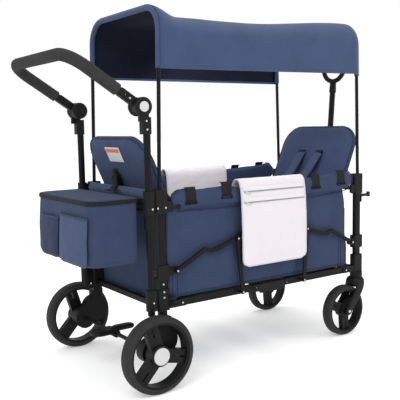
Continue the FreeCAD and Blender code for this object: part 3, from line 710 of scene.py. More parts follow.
def body_seams():
    """Corded seams on the side walls: pocket edges, the foot hem, the corners and both ends' rims."""
    cords = []
    hem_z = FLOOR_Z + 9 * MM
    for _, out in SIDES:
        def on_wall(x, z):
            return (x, out * (WALL_Y + side_bulge(x, z) + 0.4 * MM), z)

        for x in (MIDDLE_X + offset for offset in SEAMS_X):
            path = [on_wall(x, z) for z in spread(FLOOR_Z + 3 * MM, wave_z(x) - 14 * MM, 14)]
            cords.append(sweep("seam", path, circle(1.3 * MM, 8)))
        hem = [on_wall(x, hem_z) for x in spread(WALL_X + 8 * MM, WALL_FRONT - 8 * MM, 59)]
        cords.append(sweep("hem", hem, oblong(5 * MM, 2.4 * MM, count=12)))
        for x, inward in ((WALL_X, 1), (WALL_FRONT, -1)):
            edge, inner = x + inward * WALL_CORNER * 0.27, out * (WALL_Y - WALL_CORNER * 0.3)
            path = [(edge, inner, z) for z in spread(FLOOR_Z + 2 * MM, wall_top(x), 9)]
            cords.append(sweep("corner", path, circle(1.8 * MM, 8)))
    for x, z in ((WALL_X - 1 * MM, REAR_HIGH), (WALL_FRONT + 1 * MM, FRONT_HIGH)):
        path = [(x, y, z) for y in spread(-WALL_Y + 0.02, WALL_Y - 0.02, 20)]
        cords.append(sweep("rim", path, circle(3.2 * MM, 10)))
    dress(join("body_seams", cords), cloth_piping, fold=WALL_FOLD)


GUARD_RIM = (
    (-0.423, 0.644), (-0.36, 0.650), (-0.25, 0.654), (-0.19, 0.659), (-0.13, 0.642), (0.0, 0.640),
    (0.12, 0.652), (0.18, 0.661), (0.30, 0.666), (0.40, 0.670), (0.438, 0.660),
)
GUARD_FOOT = ((-0.423, 0.570), (-0.2, 0.566), (0.2, 0.570), (0.35, 0.578), (0.438, 0.592))
GUARD_ENDS = (MIDDLE_X - 0.425, MIDDLE_X + 0.440)
GUARD_INSET = 3 * MM
GUARD_Y = 0.237
STRAPS_X = tuple(MIDDLE_X + x for x in (-0.352, -0.203, 0.224, 0.361))
STRAP_WIDE = 42 * MM


def guard_outline(inset):
    """The flap's outline in its own plane: a wavy rim and rounded ends."""
    start, end = GUARD_ENDS[0] + inset, GUARD_ENDS[1] - inset
    top, foot = [], []
    for x in spread(start, end, 40):
        pinch = round_off(min(x - start, end - x), 26 * MM)
        top.append((x, level(GUARD_RIM, x - MIDDLE_X) - inset - 0.6 * pinch))
        foot.append((x, level(GUARD_FOOT, x - MIDDLE_X) + inset + pinch * 0.8))
    return top + foot[::-1]


def guards():
    """The padded flaps over both rims, swollen by their stuffing, with piping along the lower edge and ends."""
    outline = guard_outline(GUARD_INSET)
    pad = slab("guard_right", outline, 19 * MM, lambda u, v, h: Vector((u, -GUARD_Y - h, v)), soft=0.5)
    puff(pad, 7 * MM, voxel=5 * MM, pressure=5)
    start, end = (edge(v.co.x for v in pad.data.vertices) for edge in (min, max))
    for vertex in pad.data.vertices:
        share = (vertex.co.x - start) / (end - start)
        vertex.co.x = mix(GUARD_ENDS[0] + GUARD_INSET, GUARD_ENDS[1] - GUARD_INSET, share)
        point = vertex.co
        press = 4 * MM * exp(-((point.z - level(GUARD_FOOT, point.x - MIDDLE_X) - 15 * MM) / (4 * MM)) ** 2)
        point.y += press * (1 if point.y < -GUARD_Y else -1) * min(1, abs(point.y + GUARD_Y) / (6 * MM))
        point.y += 1.6 * MM * crumple(point, 0.045, 2)
        point.y += 1.2 * MM * crumple((point.x, 0, point.z * 0.3), 0.016, 6)
    for piece in (pad, copy_of(pad, "guard_left", MIRROR)):
        dress(raise_left(piece), cloth_navy, fold=WALL_FOLD)
    edge = guard_outline(3.5 * MM)
    free = edge[len(edge) // 2 - 3:] + edge[:3]
    cords = [
        sweep("cord", [(u, out * (GUARD_Y + 4.5 * MM), v) for u, v in free], circle(2.0 * MM, 8))
        for _, out in SIDES
    ]
    dress(raise_left(join("guard_piping", cords)), cloth_piping, fold=WALL_FOLD)


def rim_straps():
    """Webbing loops over the guards, each with a ladder bar at its lower end, and a snap at the rear."""
    bands, bars, studs = [], [], []
    for _, out in SIDES:
        for x in STRAPS_X:
            rim = level(GUARD_RIM, x - MIDDLE_X)
            low = rim - 56 * MM
            path = spline([
                (x, out * (GUARD_Y + off * MM), rim + lift * MM)
                for off, lift in ((1, -1), (4, 0.5), (9, -1), (14.5, -18), (15.5, -36), (14.5, -56))
            ], steps=5)
            bands.append(sweep("band", path, oblong(STRAP_WIDE, 2.2 * MM, power=8, count=16), side=(1, 0, 0)))
            y = out * (GUARD_Y + 17 * MM)
            for rise in (1 * MM, 9 * MM):
                bars.append(brick((STRAP_WIDE + 5 * MM, 4.5 * MM, 3.6 * MM), (x, y, low + rise), 1.2 * MM))
            for edge in (-STRAP_WIDE / 2 - 1 * MM, STRAP_WIDE / 2 + 1 * MM):
                bars.append(brick((4 * MM, 4.5 * MM, 11 * MM), (x + edge, y, low + 5 * MM), 1.2 * MM))
        profile = [(a * MM, b * MM) for a, b in ((0.1, 3.2), (3.2, 3), (4.5, 1.5), (8, 1.2), (8.6, -1))]
        studs.append(lathe("stud", profile, (MIDDLE_X - 0.399, out * (GUARD_Y + 11 * MM), 0.590), (0, out, 0), 24))
    dress(raise_left(join("rim_straps", bands)), tape_black, fold=WALL_FOLD)
    dress(raise_left(join("rim_strap_buckles", bars)), plastic_black, fold=WALL_FOLD)
    dress(join("rim_snaps", studs), plastic_black, fold=WALL_FOLD)


tub_shell()
body_seams()
guards()
rim_straps()


# ---- white side pouches

PAD_MID = (PAD_LOW.x + PAD_HIGH.x) / 2
PAD_HALF = (PAD_HIGH.x - PAD_LOW.x) / 2
PAD_FOOT = PAD_LOW.z + 5 * MM
PAD_RIM = PAD_HIGH.z - 1 * MM
PAD_CORNER = 26 * MM
# The pouch's line across the rim, from its inner hem over the top to its outer hem: (y, z).
PAD_LINE = [p.xy for p in spline([
    (0.2165, 0.500, 0), (0.2155, 0.56, 0), (0.2165, 0.62, 0), (0.220, PAD_RIM - 16 * MM, 0),
    (0.231, PAD_RIM - 2 * MM, 0), (0.245, PAD_RIM, 0), (0.258, PAD_RIM - 9 * MM, 0),
    (0.266, PAD_RIM - 36 * MM, 0), (0.2705, 0.585, 0), (0.2735, 0.52, 0), (0.2745, 0.44, 0),
    (0.2745, PAD_FOOT, 0),
], steps=8)]
PAD_RUNS = [length(PAD_LINE[:i + 1]) for i in range(len(PAD_LINE))]
PAD_LONG = PAD_RUNS[-1]


def pouch_half(run):
    """Half width at a distance along the line: the corners of both hems are round."""
    return PAD_HALF - round_off(min(run, PAD_LONG - run), PAD_CORNER)


def pouch_spot(run, across, lift=0.0):
    """A point on the left pouch, at a distance along its line."""
    run = min(max(run, 0.0), PAD_LONG)
    k = next(i for i in range(1, len(PAD_RUNS)) if run <= PAD_RUNS[i] or i == len(PAD_RUNS) - 1)
    share = (run - PAD_RUNS[k - 1]) / (PAD_RUNS[k] - PAD_RUNS[k - 1])
    near, far = PAD_LINE[k - 1], PAD_LINE[k]
    place = mix(near, far, share)
    out = Vector((near.y - far.y, far.x - near.x)) / (far - near).length
    half = pouch_half(run)
    wave = 1.5 * MM * crumple((across, run, 0), 0.05, 11) + 0.9 * MM * crumple((across, run * 2, 1), 0.022, 4)
    plump = 2.2 * MM * hump((across + half) / (2 * half), 4) * ease((run - 0.20) / 0.06)
    place = place + out * (lift + (wave + plump) * hump(run / PAD_LONG, 10))
    return Vector((PAD_MID + across, place.x, place.y))


def on_both_sides(name, piece, material):
    """The left side's piece and its mirror on the right, as one mesh."""
    both = join(name, [piece, copy_of(piece, "twin", MIRROR)])
    dress(raise_left(both), material, fold=WALL_FOLD)


def pouches():
    """The quilted white pouches over both rims, with piping, two zips and their pullers."""
    for side, out in SIDES:
        rows = []
        for run in spread(0, PAD_LONG, 96):
            half = pouch_half(run)
            rows.append([pouch_spot(run, across) for across in spread(-half, half, 36)])
        pad = net(f"side_pouch_{side}", rows)
        if out < 0:
            pad.data.transform(MIRROR)
            pad.data.flip_normals()
        dress(raise_left(thicken(pad, 4.5 * MM, offset=0)), cloth_white, fold=WALL_FOLD)
        if out > 0:
            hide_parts("side_pads")
    runs = spread(0, PAD_LONG, 59)
    hem = spread(pouch_half(0), -pouch_half(0), 15)[1:]
    path = [pouch_spot(run, pouch_half(run) + 0.6 * MM) for run in runs]
    path += [pouch_spot(PAD_LONG, across) for across in hem]
    path += [pouch_spot(run, -pouch_half(run) - 0.6 * MM) for run in runs[-2::-1]]
    path += [pouch_spot(0, -across) for across in hem[:-1]]
    on_both_sides("pouch_edges", sweep("edge", path, circle(3.2 * MM, 8), closed=True), cloth_white_edge)
    zips = [max(r for r, p in zip(PAD_RUNS, PAD_LINE) if p.y >= height) for height in (0.622, 0.580)]
    for name, below, short, lift, wide, thick, count, side, material in (
        ("pouch_zip_flaps", -8, 6, 3.6, 16, 2.2, 16, (0, 0.25, -1), cloth_white),
        ("pouch_zips", 2.5, 8, 3.4, 4.5, 2.0, 12, (0, 0, -1), zip_grey),
    ):
        half = PAD_HALF - short * MM
        tapes = []
        for run in zips:
            path = [pouch_spot(run + below * MM, across, lift * MM) for across in spread(-half, half, 30)]
            tapes.append(sweep("tape", path, oblong(wide * MM, thick * MM, power=4, count=count), side=side))
        on_both_sides(name, join("tapes", tapes), material)
    pulls = []
    for run in zips:
        place = pouch_spot(run + 3 * MM, -PAD_HALF + 16 * MM, 6.5 * MM)
        pulls.append(brick((9 * MM, 4 * MM, 7 * MM), place, 1.3 * MM))
        tab = Matrix.Translation(place + Vector((11 * MM, 1 * MM, -3 * MM))) @ Matrix.Rotation(radians(16), 4, "Y")
        pulls.append(brick((20 * MM, 1.8 * MM, 5.5 * MM), tab, 0.8 * MM))
    on_both_sides("pouch_zip_pulls", join("pulls", pulls), steel)


pouches()


# ---- seats

SEAT_LEAN = radians(23.5)
SEAT_X = 0.368
SEAT_Z = 0.500
SEAT_HALF = 0.211
SEAT_TOPS = {-1: 0.352, 1: 0.372}
SEAT_FOOT = 0.034
SEAT_CORNER = 0.092
BENCH_X = 0.247
BENCH_LONG, BENCH_WIDE = 0.194, 0.404
BENCH_TOP = 0.490
SLOT_V = 0.300
BELT_V = 0.252
BELT_Y = 0.052
LABEL_U, LABEL_V = -0.006, 0.292


def seat_matrix(end):
    """A seat back's own frame: across, up the back, towards the sitter."""
    rise, run = end * sin(SEAT_LEAN), end * cos(SEAT_LEAN)
    return Matrix((
        (0, rise, -run, MIDDLE_X + end * SEAT_X), (1, 0, 0, 0),
        (0, cos(SEAT_LEAN), sin(SEAT_LEAN), SEAT_Z), (0, 0, 0, 1),
    ))


def seat_outline(end, inset):
    """A seat back's outline: big round corners at the top, small ones at the foot."""
    half, big, small = SEAT_HALF - inset, SEAT_CORNER - inset, 18 * MM
    top, foot = SEAT_TOPS[end] - inset - big, SEAT_FOOT + inset + small
    return arcs([
        (half - big, top, big, 0), (big - half, top, big, 90),
        (small - half, foot, small, 180), (half - small, foot, small, 270),
    ], 10)


def fit(form, outline, sectors=72):
    """Stretches a swollen pad in its own plane, sector by sector, until its edge fills its outline again."""
    middle = sum(v for _, v in outline) / len(outline)
    want, have = [0.0] * sectors, [0.0] * sectors

    def sector(u, v):
        return (atan2(v - middle, u) / (2 * pi) % 1.0) * sectors

    for reach, points in ((want, fill(outline, lambda long: 40)), (have, [v.co.xy for v in form.data.vertices])):
        for u, v in points:
            at = int(sector(u, v)) % sectors
            reach[at] = max(reach[at], hypot(u, v - middle))
    stretch = [w / h for w, h in zip(want, have)]
    for vertex in form.data.vertices:
        at = sector(vertex.co.x, vertex.co.y) - 0.5
        share = mix(stretch[floor(at) % sectors], stretch[(floor(at) + 1) % sectors], at - floor(at))
        vertex.co.x *= share
        vertex.co.y = middle + (vertex.co.y - middle) * share
    form.data.update()


def face_at(form, u, v, side):
    """How far a pad's front (side 1) or back (side -1) stands out near a place in its plane."""
    return side * max(side * p.co.z for p in form.data.vertices if hypot(p.co.x - u, p.co.y - v) < 20 * MM)


def seat_form(end):
    """The stuffed seat back in its own plane, smooth, with one sewn line above the bench."""
    form = slab("seat_form", seat_outline(end, 0.0), 23 * MM, lambda u, v, h: Vector((u, v, h)), soft=0.45)
    puff(form, 9 * MM, voxel=6 * MM, pressure=4)
    fit(form, seat_outline(end, 1 * MM))
    pull_in(form, [lambda p: p.y - 52 * MM], 4 * MM, 5 * MM)
    for vertex in form.data.vertices:
        vertex.co.z += 1.3 * MM * crumple(vertex.co, 0.06, 17)
    return form


def seat_back(end, name, form):
    """One seat back with its piping, harness slots, shoulder pads and belts."""
    body = f"{name}_seat_back"
    matrix = seat_matrix(end)
    up = matrix.col[1].xyz

    def at(u, v, h):
        return matrix @ Vector((u, v, h))

    pad = dress(face_out(copy_of(form, f"{name}_seat_pad", matrix)), cloth_seat, body)
    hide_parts(f"{name}_seat_back")
    cords = [
        sweep("cord", [at(u, v, h) for u, v in seat_outline(end, 4.5 * MM)], circle(2.6 * MM, 8), closed=True)
        for h in (-6.5 * MM, 6.5 * MM)
    ]
    dress(join(f"{name}_seat_piping", cords), cloth_piping, body)
    slots, pads, belts, clips = [], [], [], []
    tape = oblong(24 * MM, 1.8 * MM, power=8, count=12)
    depth = face_at(form, BELT_Y, BELT_V, 1)
    for out in (-1, 1):
        y = out * BELT_Y
        for slot_v in (SLOT_V, BELT_V):
            path = [at(y + along, slot_v, depth - 2.5 * MM) for along in spread(-22 * MM, 22 * MM, 8)]
            slots.append(sweep("slot", path, oblong(3.5 * MM, 2.5 * MM, count=12), side=up))
        line = spline([
            (v, depth + off * MM, 0)
            for v, off in ((BELT_V - 14 * MM, 6), (BELT_V - 30 * MM, 12), (0.17, 27), (0.11, 48), (0.062, 70))
        ], steps=5)
        path = [at(out * (BELT_Y - 8 * MM * i / len(line)), p.x, p.y) for i, p in enumerate(line)]
        pads.append(sweep("pad", path, oblong(46 * MM, 11 * MM, power=3, count=20), side=(0, 1, 0)))
        for side, route in (
            ((0, 1, 0), (
                (BELT_Y, BELT_V, -4), (BELT_Y, BELT_V - 6 * MM, 4), (BELT_Y, BELT_V - 22 * MM, 9),
                (BELT_Y - 2 * MM, 0.17, 26), (BELT_Y - 6 * MM, 0.10, 50), (BELT_Y * 0.8, 0.046, 76),
                (0.024, 0.012, 74),
            )),
            (up, ((0.17, 0.050, -6), (0.15, 0.034, 14), (0.10, 0.014, 42), (0.024, 0.006, 62))),
        ):
            path = spline([at(out * u, v, depth + off * MM) for u, v, off in route])
            belts.append(sweep("belt", path, tape, side=side))
        clip = matrix @ Matrix.Translation((y, BELT_V - 10 * MM, depth + 7 * MM))
        clips.append(brick((38 * MM, 20 * MM, 8 * MM), clip, 2.4 * MM))
    buckle = matrix @ Matrix.Translation((0, 0.006, depth + 66 * MM)) @ Matrix.Rotation(radians(60), 4, "X")
    clips.append(brick((56 * MM, 46 * MM, 15 * MM), buckle, 5 * MM))
    dress(join(f"{name}_harness_slots", slots), tape_black, body)
    shoulder = dress(join(f"{name}_shoulder_pads", pads), cloth_seat, body)
    dress(join(f"{name}_harness_webbing", belts), tape_black, body)
    dress(join(f"{name}_harness_buckles", clips), plastic_black, body)


def bench(end, name, form):
    """A stuffed seat cushion with a piped edge."""
    matrix = Matrix.Translation((MIDDLE_X + end * BENCH_X, 0, BENCH_TOP - 22 * MM))
    if end > 0:
        matrix = matrix @ Matrix.Rotation(pi, 4, "Z")
    fold = (MIDDLE_X + end * (SEAT_X - 0.02), 0.22)
    pad = dress(copy_of(form, f"{name}_bench_pad", matrix), cloth_seat, f"{name}_frame", fold=fold)
    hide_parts(f"{name}_bench")
    outline = round_box(BENCH_LONG, BENCH_WIDE, 24 * MM)
    cords = [
        sweep("cord", [matrix @ Vector((u, v, h)) for u, v in outline], circle(2.4 * MM, 8), closed=True)
        for h in (-14 * MM, 15 * MM)
    ]
    dress(join(f"{name}_bench_piping", cords), cloth_piping, f"{name}_frame", fold=fold)


def seats():
    """Both seats, and the blank patch with a coloured strip on the back of the rear one."""
    outline = round_box(BENCH_LONG - 8 * MM, BENCH_WIDE - 8 * MM, 22 * MM)
    cushion = slab("bench_form", outline, 32 * MM, lambda u, v, h: Vector((u, v, h)), soft=0.35)
    puff(cushion, 8 * MM, voxel=6 * MM, pressure=4)
    fit(cushion, round_box(BENCH_LONG - 2 * MM, BENCH_WIDE - 2 * MM, 23 * MM))
    pull_in(cushion, [lambda p: p.y - 68 * MM, lambda p: p.y + 68 * MM], 5 * MM, 4 * MM)
    face = 0.0
    for end, name in ((-1, "rear"), (1, "front")):
        back = seat_form(end)
        seat_back(end, name, back)
        bench(end, name, cushion)
        face = min(face, face_at(back, LABEL_U, LABEL_V + 3 * MM, -1))
        bpy.data.objects.remove(back)
    bpy.data.objects.remove(cushion)
    matrix = seat_matrix(-1)
    for name, long, wide, corner, thick, rise, off, material in (
        ("rear_blank_patch", 104, 56, 3, 1.6, 0, 0.8, tape_blank),
        ("rear_patch_strip", 90, 14, 2, 1.2, 16, 1.7, patch_orange),
    ):
        centre = Vector((LABEL_U, LABEL_V + rise * MM, face - off * MM))
        patch = round_box(long * MM, wide * MM, corner * MM, steps=3, edge=1)
        label = slab(
            name, patch, thick * MM, lambda u, v, h: matrix @ (centre + Vector((u, v, h))), soft=0.2, rings=2)
        dress(label, material, "rear_seat_back")


seats()


# ---- roll behind the rear seat, with the tie-down strap

STRAP_Y = 0.032


def rim_roll():
    """The padded roll along the rear rim."""
    centre = (ROLL_LOW + ROLL_HIGH) / 2
    rows = []
    for y in spread(-ROLL_HIGH.y, ROLL_HIGH.y, 90):
        radius = 17.5 * MM - round_off(ROLL_HIGH.y - abs(y), 10 * MM) * 1.6
        row = []
        for a, b in turns(28):
            wrinkle = 1 + 0.05 * crumple((a * 0.01, y, b * 0.01), 0.02, 1) + 0.02 * sin(y * 190 + a)
            row.append(Vector((centre.x + a * radius * wrinkle, y, centre.z + b * radius * wrinkle)))
        rows.append(row)
    roll = dress(net("rear_rim_roll", rows, wrap=True, caps=True), cloth_top)
    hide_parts("rim_roll")


def tie_strap():
    """The strap that holds the rear seat back, its buckle and its sewn patch on the roll."""
    matrix = seat_matrix(-1)
    path = [
        matrix @ Vector((STRAP_Y + across, v, h))
        for across, v, h in ((0, 0.246, -0.016), (0, 0.228, -0.024), (-0.004, 0.20, -0.029))
    ] + [
        Vector((x, STRAP_Y + across, z))
        for x, across, z in (
            (-0.398, -0.016, 0.680), (-0.405, -0.026, 0.657), (-0.415, -0.034, 0.647), (-0.425, -0.042, 0.6395),
            (-0.435, -0.046, 0.637),
        )
    ]
    band = sweep("seat_tie_strap", spline(path), oblong(30 * MM, 2.4 * MM, power=8, count=12), side=(0, 1, 0))
    dress(band, tape_black, "rear_seat_back")
    turn = matrix @ Matrix.Translation((STRAP_Y - 0.002, 0.205, -31 * MM))
    plug = [brick((44 * MM, 34 * MM, 12 * MM), turn, 3 * MM), brick((32 * MM, 58 * MM, 8 * MM), turn, 2.5 * MM)]
    dress(join("seat_tie_buckle", plug), plastic_black, "rear_seat_back")
    centre = Vector((-0.4265, -0.012, 0.6375))
    patch = round_box(24 * MM, 74 * MM, 3 * MM, steps=3, edge=2)
    foot = slab("roll_strap_patch", patch, 2.4 * MM, lambda *place: centre + Vector(place), soft=0.3, rings=3)
    dress(foot, tape_black)


rim_roll()
tie_strap()


# ---- basket

BASKET_CORNER = 48 * MM
BASKET_NEAR_CORNER = 12 * MM
BASKET_TAPER = 10 * MM
BASKET_LONG = BASKET_HIGH.x - BASKET_LOW.x
BASKET_TALL = BASKET_HIGH.z - BASKET_LOW.z


def basket_outline(start, end, half, step):
    """A rectangle from above, as (x, y), with big corners at the back and small ones by the handle tubes."""
    corners = []
    for sx, sy, turn in QUARTERS:
        radius = BASKET_NEAR_CORNER if sx > 0 else BASKET_CORNER
        corners.append((end - radius if sx > 0 else start + radius, sy * (half - radius), radius, turn))
    return fill(arcs(corners, 8), every(step))


def basket_swell(x, y, z):
    """How far the basket's wall stands out, softly all round."""
    up = (z - BASKET_LOW.z) / BASKET_TALL
    swell = 2 * MM * hump(up, 3) + 2.0 * MM * crumple((x, y, z), 0.09, 12) + 0.9 * MM * crumple((x, y, z), 0.03, 14)
    return swell if 0.02 <= up <= 0.97 else swell * 0.3


def basket_lean(x, z):
    """How far the basket's rear face has leaned in at a height."""
    return BASKET_TAPER * (BASKET_HIGH.x - x) / BASKET_LONG * (z - BASKET_LOW.z) / BASKET_TALL


def basket_body():
    """The basket's walls and floor as one sewn shell."""
    mid = (BASKET_LOW.x + BASKET_HIGH.x) / 2
    ring = basket_outline(BASKET_LOW.x, BASKET_HIGH.x, BASKET_HIGH.y, 0.008)
    rows = []
    for i, z in enumerate(spread(BASKET_LOW.z + 3 * MM, BASKET_HIGH.z - 1 * MM, 26)):
        foot = 10 * MM * max(0.0, 1 - i / 3) ** 2
        row = []
        for x, y in ring:
            wide = ((x - mid) / (BASKET_HIGH.x - mid), y / BASKET_HIGH.y)
            normal = Vector((*(copysign(abs(share) ** 8, share) for share in wide), 0)).normalized()
            push = basket_swell(x, y, z) - foot
            if x > BASKET_HIGH.x - 20 * MM:
                push = min(push, 0)
            row.append(Vector((x + basket_lean(x, z), y, z)) + normal * push)
        rows.append(row)
    ground = [
        [Vector((mix(mid, p.x, share), p.y * share, BASKET_LOW.z + 1 * MM)) for p in rows[0]]
        for share in (0.02, 0.3, 0.6, 0.9)
    ]
    shell = thicken(net("basket_bag", ground + rows, wrap=True), 2.2 * MM, inner=1)
    dress(shell, (cloth_navy, cloth_seat))
    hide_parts("basket")
    wide = BASKET_HIGH.y - BASKET_LOW.y


def pocket(name, low_y, high_y, low_z, high_z, material, gather):
    """A patch pocket on the basket's rear face, standing out at its foot and gathered at its mouth."""
    rows = []
    for up in spread(0, 1, 24):
        z = mix(low_z, high_z, up)
        inset = round_off(z - low_z, 14 * MM)
        row = []
        for along in spread(0, 1, 30):
            y = mix(low_y + inset, high_y - inset, along)
            stand = 12 * MM * hump(along, 4) * (0.35 + 0.65 * (1 - up) ** 0.7) * min(1, up * 9 + 0.25)
            stand += gather * sin(along * 40) * up ** 5 * hump(along, 6)
            stand += 1.5 * MM * crumple((y, z, 0.5), 0.03, 21)
            x = BASKET_LOW.x + basket_lean(BASKET_LOW.x, z) - basket_swell(BASKET_LOW.x, y, z)
            row.append(Vector((x - 2.5 * MM - max(stand, 0), y, z)))
        rows.append(row)
    dress(thicken(net(name, rows), 1.6 * MM, offset=0), material)
    mouth = [p + Vector((-1.2 * MM, 0, 0)) for p in rows[-1]]
    dress(sweep(name + "_hem", mouth, oblong(7 * MM, 3 * MM, count=12), side=(0, 0, 1)), cloth_navy)


def basket_lid():
    """The domed lid, the band round its edge and the zip below it."""
    start, end = BASKET_LOW.x + BASKET_TAPER - 2 * MM, LID_HIGH.x - 4 * MM
    mid = (start + end) / 2
    half = (LID_HIGH.y - LID_LOW.y) / 2 + 1.5 * MM
    outline = [(x - mid, y) for x, y in basket_outline(start, end, half, 0.02)]
    base = LID_LOW.z - 2 * MM
    rows = []
    for share, lift in (
        (0.03, 0), (1.0, 0), (1.0, 8), (0.985, 10), (0.95, 11), (0.85, 12), (0.7, 13), (0.5, 13.5),
        (0.25, 14), (0.03, 14),
    ):
        ripple = 0.8 * MM if lift and share < 0.94 else 0
        ring = [(u * share, v * share) for u, v in outline]
        rows.append([
            Vector((mid + a, b, base + lift * MM + ripple * crumple((a, b, 0), 0.05, 30))) for a, b in ring
        ])
    lid = dress(net("basket_lid_cloth", rows, wrap=True, caps=True), cloth_navy, "basket_lid")
    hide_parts("basket_lid")
    path = [(mid + u * 1.004, v * 1.003, base + 1.5 * MM) for u, v in outline]
    band = sweep("basket_lid_band", path, oblong(4 * MM, 13 * MM, power=4, count=14), closed=True)
    dress(band, tape_black, "basket_lid")
    path = [(mid + u, v, BASKET_HIGH.z - 3 * MM) for u, v in outline if mid + u < end - 20 * MM]
    first = next(i for i in range(len(path)) if dist(path[i - 1], path[i]) > 0.06)
    dress(sweep("basket_zip", path[first:] + path[:first], oblong(3.6 * MM, 9 * MM, power=4, count=12)), tape_black)


basket_body()
pocket("basket_pocket_bottle", 0.012, 0.160, BASKET_LOW.z + 8 * MM, 0.555, cloth_mesh, 0.8 * MM)
pocket("basket_pocket_wide", -0.206, 0.002, BASKET_LOW.z + 4 * MM, 0.570, cloth_mesh_pale, 0.5 * MM)
basket_lid()


def floor_mats():
    """Thin quilted mats on the three boards of the folding floor."""
    for name, body in (("rear_floor", "rear_rail"), ("centre_floor", "centre"), ("front_floor", "front_rail")):
        low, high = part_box(name)
        outline = round_box(high.x - low.x - 2 * MM, high.y - low.y - 4 * MM, 12 * MM, steps=4, edge=3)
        centre = Vector(((low.x + high.x) / 2, 0, high.z + 1.5 * MM))
        mat = slab(name + "_mat", outline, 9 * MM, lambda *place: centre + Vector(place), soft=0.3, rings=3)
        dress(mat, floor_cloth, body)


floor_mats()


# ---- moulded details and rivets

SOCKET_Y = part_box("handle_sockets")[1].y
HANDLE_RISE = radians(33)
HANDLE_PIVOT = sum(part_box("handle_button_right"), Vector()) / 2
HANDLE_PIVOT.y = 0
CASTER_Y = 0.236
CASTER_AXLE = Vector((MIDDLE_X + 0.393, 0, 0.101))


def moulding(name, pieces, body="rear_frame"):
    """Several pieces of black plastic as one."""
    dress(join(name, pieces), plastic_black, body)


def handle_hubs():
    """The raised ring round each button, and the inner disc that turns with the handle."""
    ring = (
        (17.4, -2.0), (17.4, 3.4), (18.6, 4.6), (21.5, 4.6), (25.5, 2.4), (28.5, -0.5), (29.5, -2.0), (17.4, -2.0),
    )
    disc = (
        (2, 1), (9, 1), (11, -0.5), (17, -0.5), (19, 1), (21, 1), (23, -0.5), (26, 0), (29, 3), (30, 7), (30, 14),
        (28, 17), (24, 17.5), (4, 17.5),
    )
    rings, discs = [], []
    for _, out in SIDES:
        rings.append(face_out(net("ring", [
            [HANDLE_PIVOT + Vector((x, out * (SOCKET_Y + along * MM), z)) for x, z in circle(radius * MM, 48)]
            for radius, along in ring
        ], wrap=True)))
        centre = HANDLE_PIVOT + Vector((0, out * 0.2035, 0))
        discs.append(lathe("disc", [(radius * MM, along * MM) for radius, along in disc], centre, (0, out, 0), 40))
    moulding("handle_hub_rings", rings)
    moulding("handle_inner_discs", discs, "push_handle")


def rivet(centre, out, radius=3.6 * MM, tall=2.0 * MM):
    """A domed rivet head that stands off a side face."""
    profile = ((1, -1 * MM), (1, 0.3 * tall), (0.8, 0.75 * tall), (0.4, tall), (0.05, 1.02 * tall))
    return lathe("rivet", [(radius * share, along) for share, along in profile], centre, (0, out, 0), 16)


def rivets():
    """Steel heads on the brackets, rails and links; each rides with the part that it holds."""
    heads = {"rear_frame": [
        (MIDDLE_X + x, y, z)
        for x, y, z in (
            (-0.507, 0.2615, 0.591), (-0.482, 0.2525, 0.591), (-0.452, 0.2525, 0.591), (-0.466, 0.249, 0.338),
            (-0.466, 0.2525, 0.313), (-0.466, 0.2525, 0.294), (-0.512, 0.2625, 0.285),
        )
    ] + [(HANDLE_PIVOT.x + 0.009, 0.2570, 0.872), (HANDLE_PIVOT.x + 0.011, 0.2570, 0.845)]}
    for end, name in ((-1, "rear"), (1, "front")):
        for body, x, y, z in (
            (f"{name}_frame", 0.418, 0.2651, 0.379), (f"{name}_frame", 0.394, 0.2530, 0.266),
            (f"{name}_rail", 0.148, 0.2707, 0.266), (f"{name}_link", 0.166, 0.2700, 0.460),
            (f"{name}_wave", 0.012, 0.2620, 0.488), ("centre", 0.074, 0.2500, 0.266),
        ):
            heads.setdefault(body, []).append((MIDDLE_X + end * x, y, z))
    arm = Vector((-cos(HANDLE_RISE), 0, sin(HANDLE_RISE)))
    heads["push_handle"] = [HANDLE_PIVOT + arm * reach + Vector((0, 0.2438, 0)) for reach in (0.048, 0.070)]
    for body, spots in heads.items():
        pieces = [rivet((x, out * y, z), out) for x, y, z in spots for _, out in SIDES]
        dress(join(f"rivets_{body}", pieces), steel, body)


def fork_shells():
    """Thick moulded legs over each caster's plates, and their bolts."""
    boss = [(a * MM, b * MM) for a, b in ((2, -5), (15, -5), (16, -3), (16, 5), (14, 7.5), (3, 7.5))]
    for side, out in SIDES:
        body = f"caster_{side}"
        legs, bolts = [], []
        for face in (-1, 1):
            y = out * CASTER_Y + face * 29 * MM
            path = spline([
                (MIDDLE_X + 0.468, y - face * 6 * MM, 0.214), (MIDDLE_X + 0.462, y, 0.196),
                (MIDDLE_X + 0.446, y, 0.166), (MIDDLE_X + 0.420, y, 0.132), CASTER_AXLE + Vector((0, y, 0)),
            ])
            rows = []
            for i, place in enumerate(path):
                tangent = (path[min(i + 1, len(path) - 1)] - path[max(i - 1, 0)]).normalized()
                across = Vector((0, 1, 0)).cross(tangent).normalized()
                leg = oblong(mix(44, 30, i / (len(path) - 1)) * MM, 10 * MM, power=4)
                rows.append([place + across * a + Vector((0, b, 0)) for a, b in leg])
            legs.append(net("leg", rows, wrap=True, caps=True))
            legs.append(lathe("boss", boss, path[-1], (0, face, 0), 28))
            bolts.append(rivet(path[-1] + Vector((0, face * 7.5 * MM, 0)), face, 6 * MM, 3 * MM))
        moulding(f"fork_shell_{side}", legs, body)
        dress(join(f"fork_bolts_{side}", bolts), steel, body)


def pedal_shell():
    """The rounded foot plates over the brake pedal."""
    low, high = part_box("brake_pedal")
    plates = []
    for start, end, wide, z in ((low.x - 2 * MM, -0.425, 64, 0.1335), (-0.430, high.x + 2 * MM, 38, 0.1385)):
        centre = Vector(((start + end) / 2, (low.y + high.y) / 2, z))
        outline = round_box(end - start, wide * MM, wide * 0.42 * MM, edge=2)
        plates.append(slab("plate", outline, 17 * MM, lambda *place: centre + Vector(place), soft=0.45))
    moulding("brake_pedal_shell", plates, "brake")


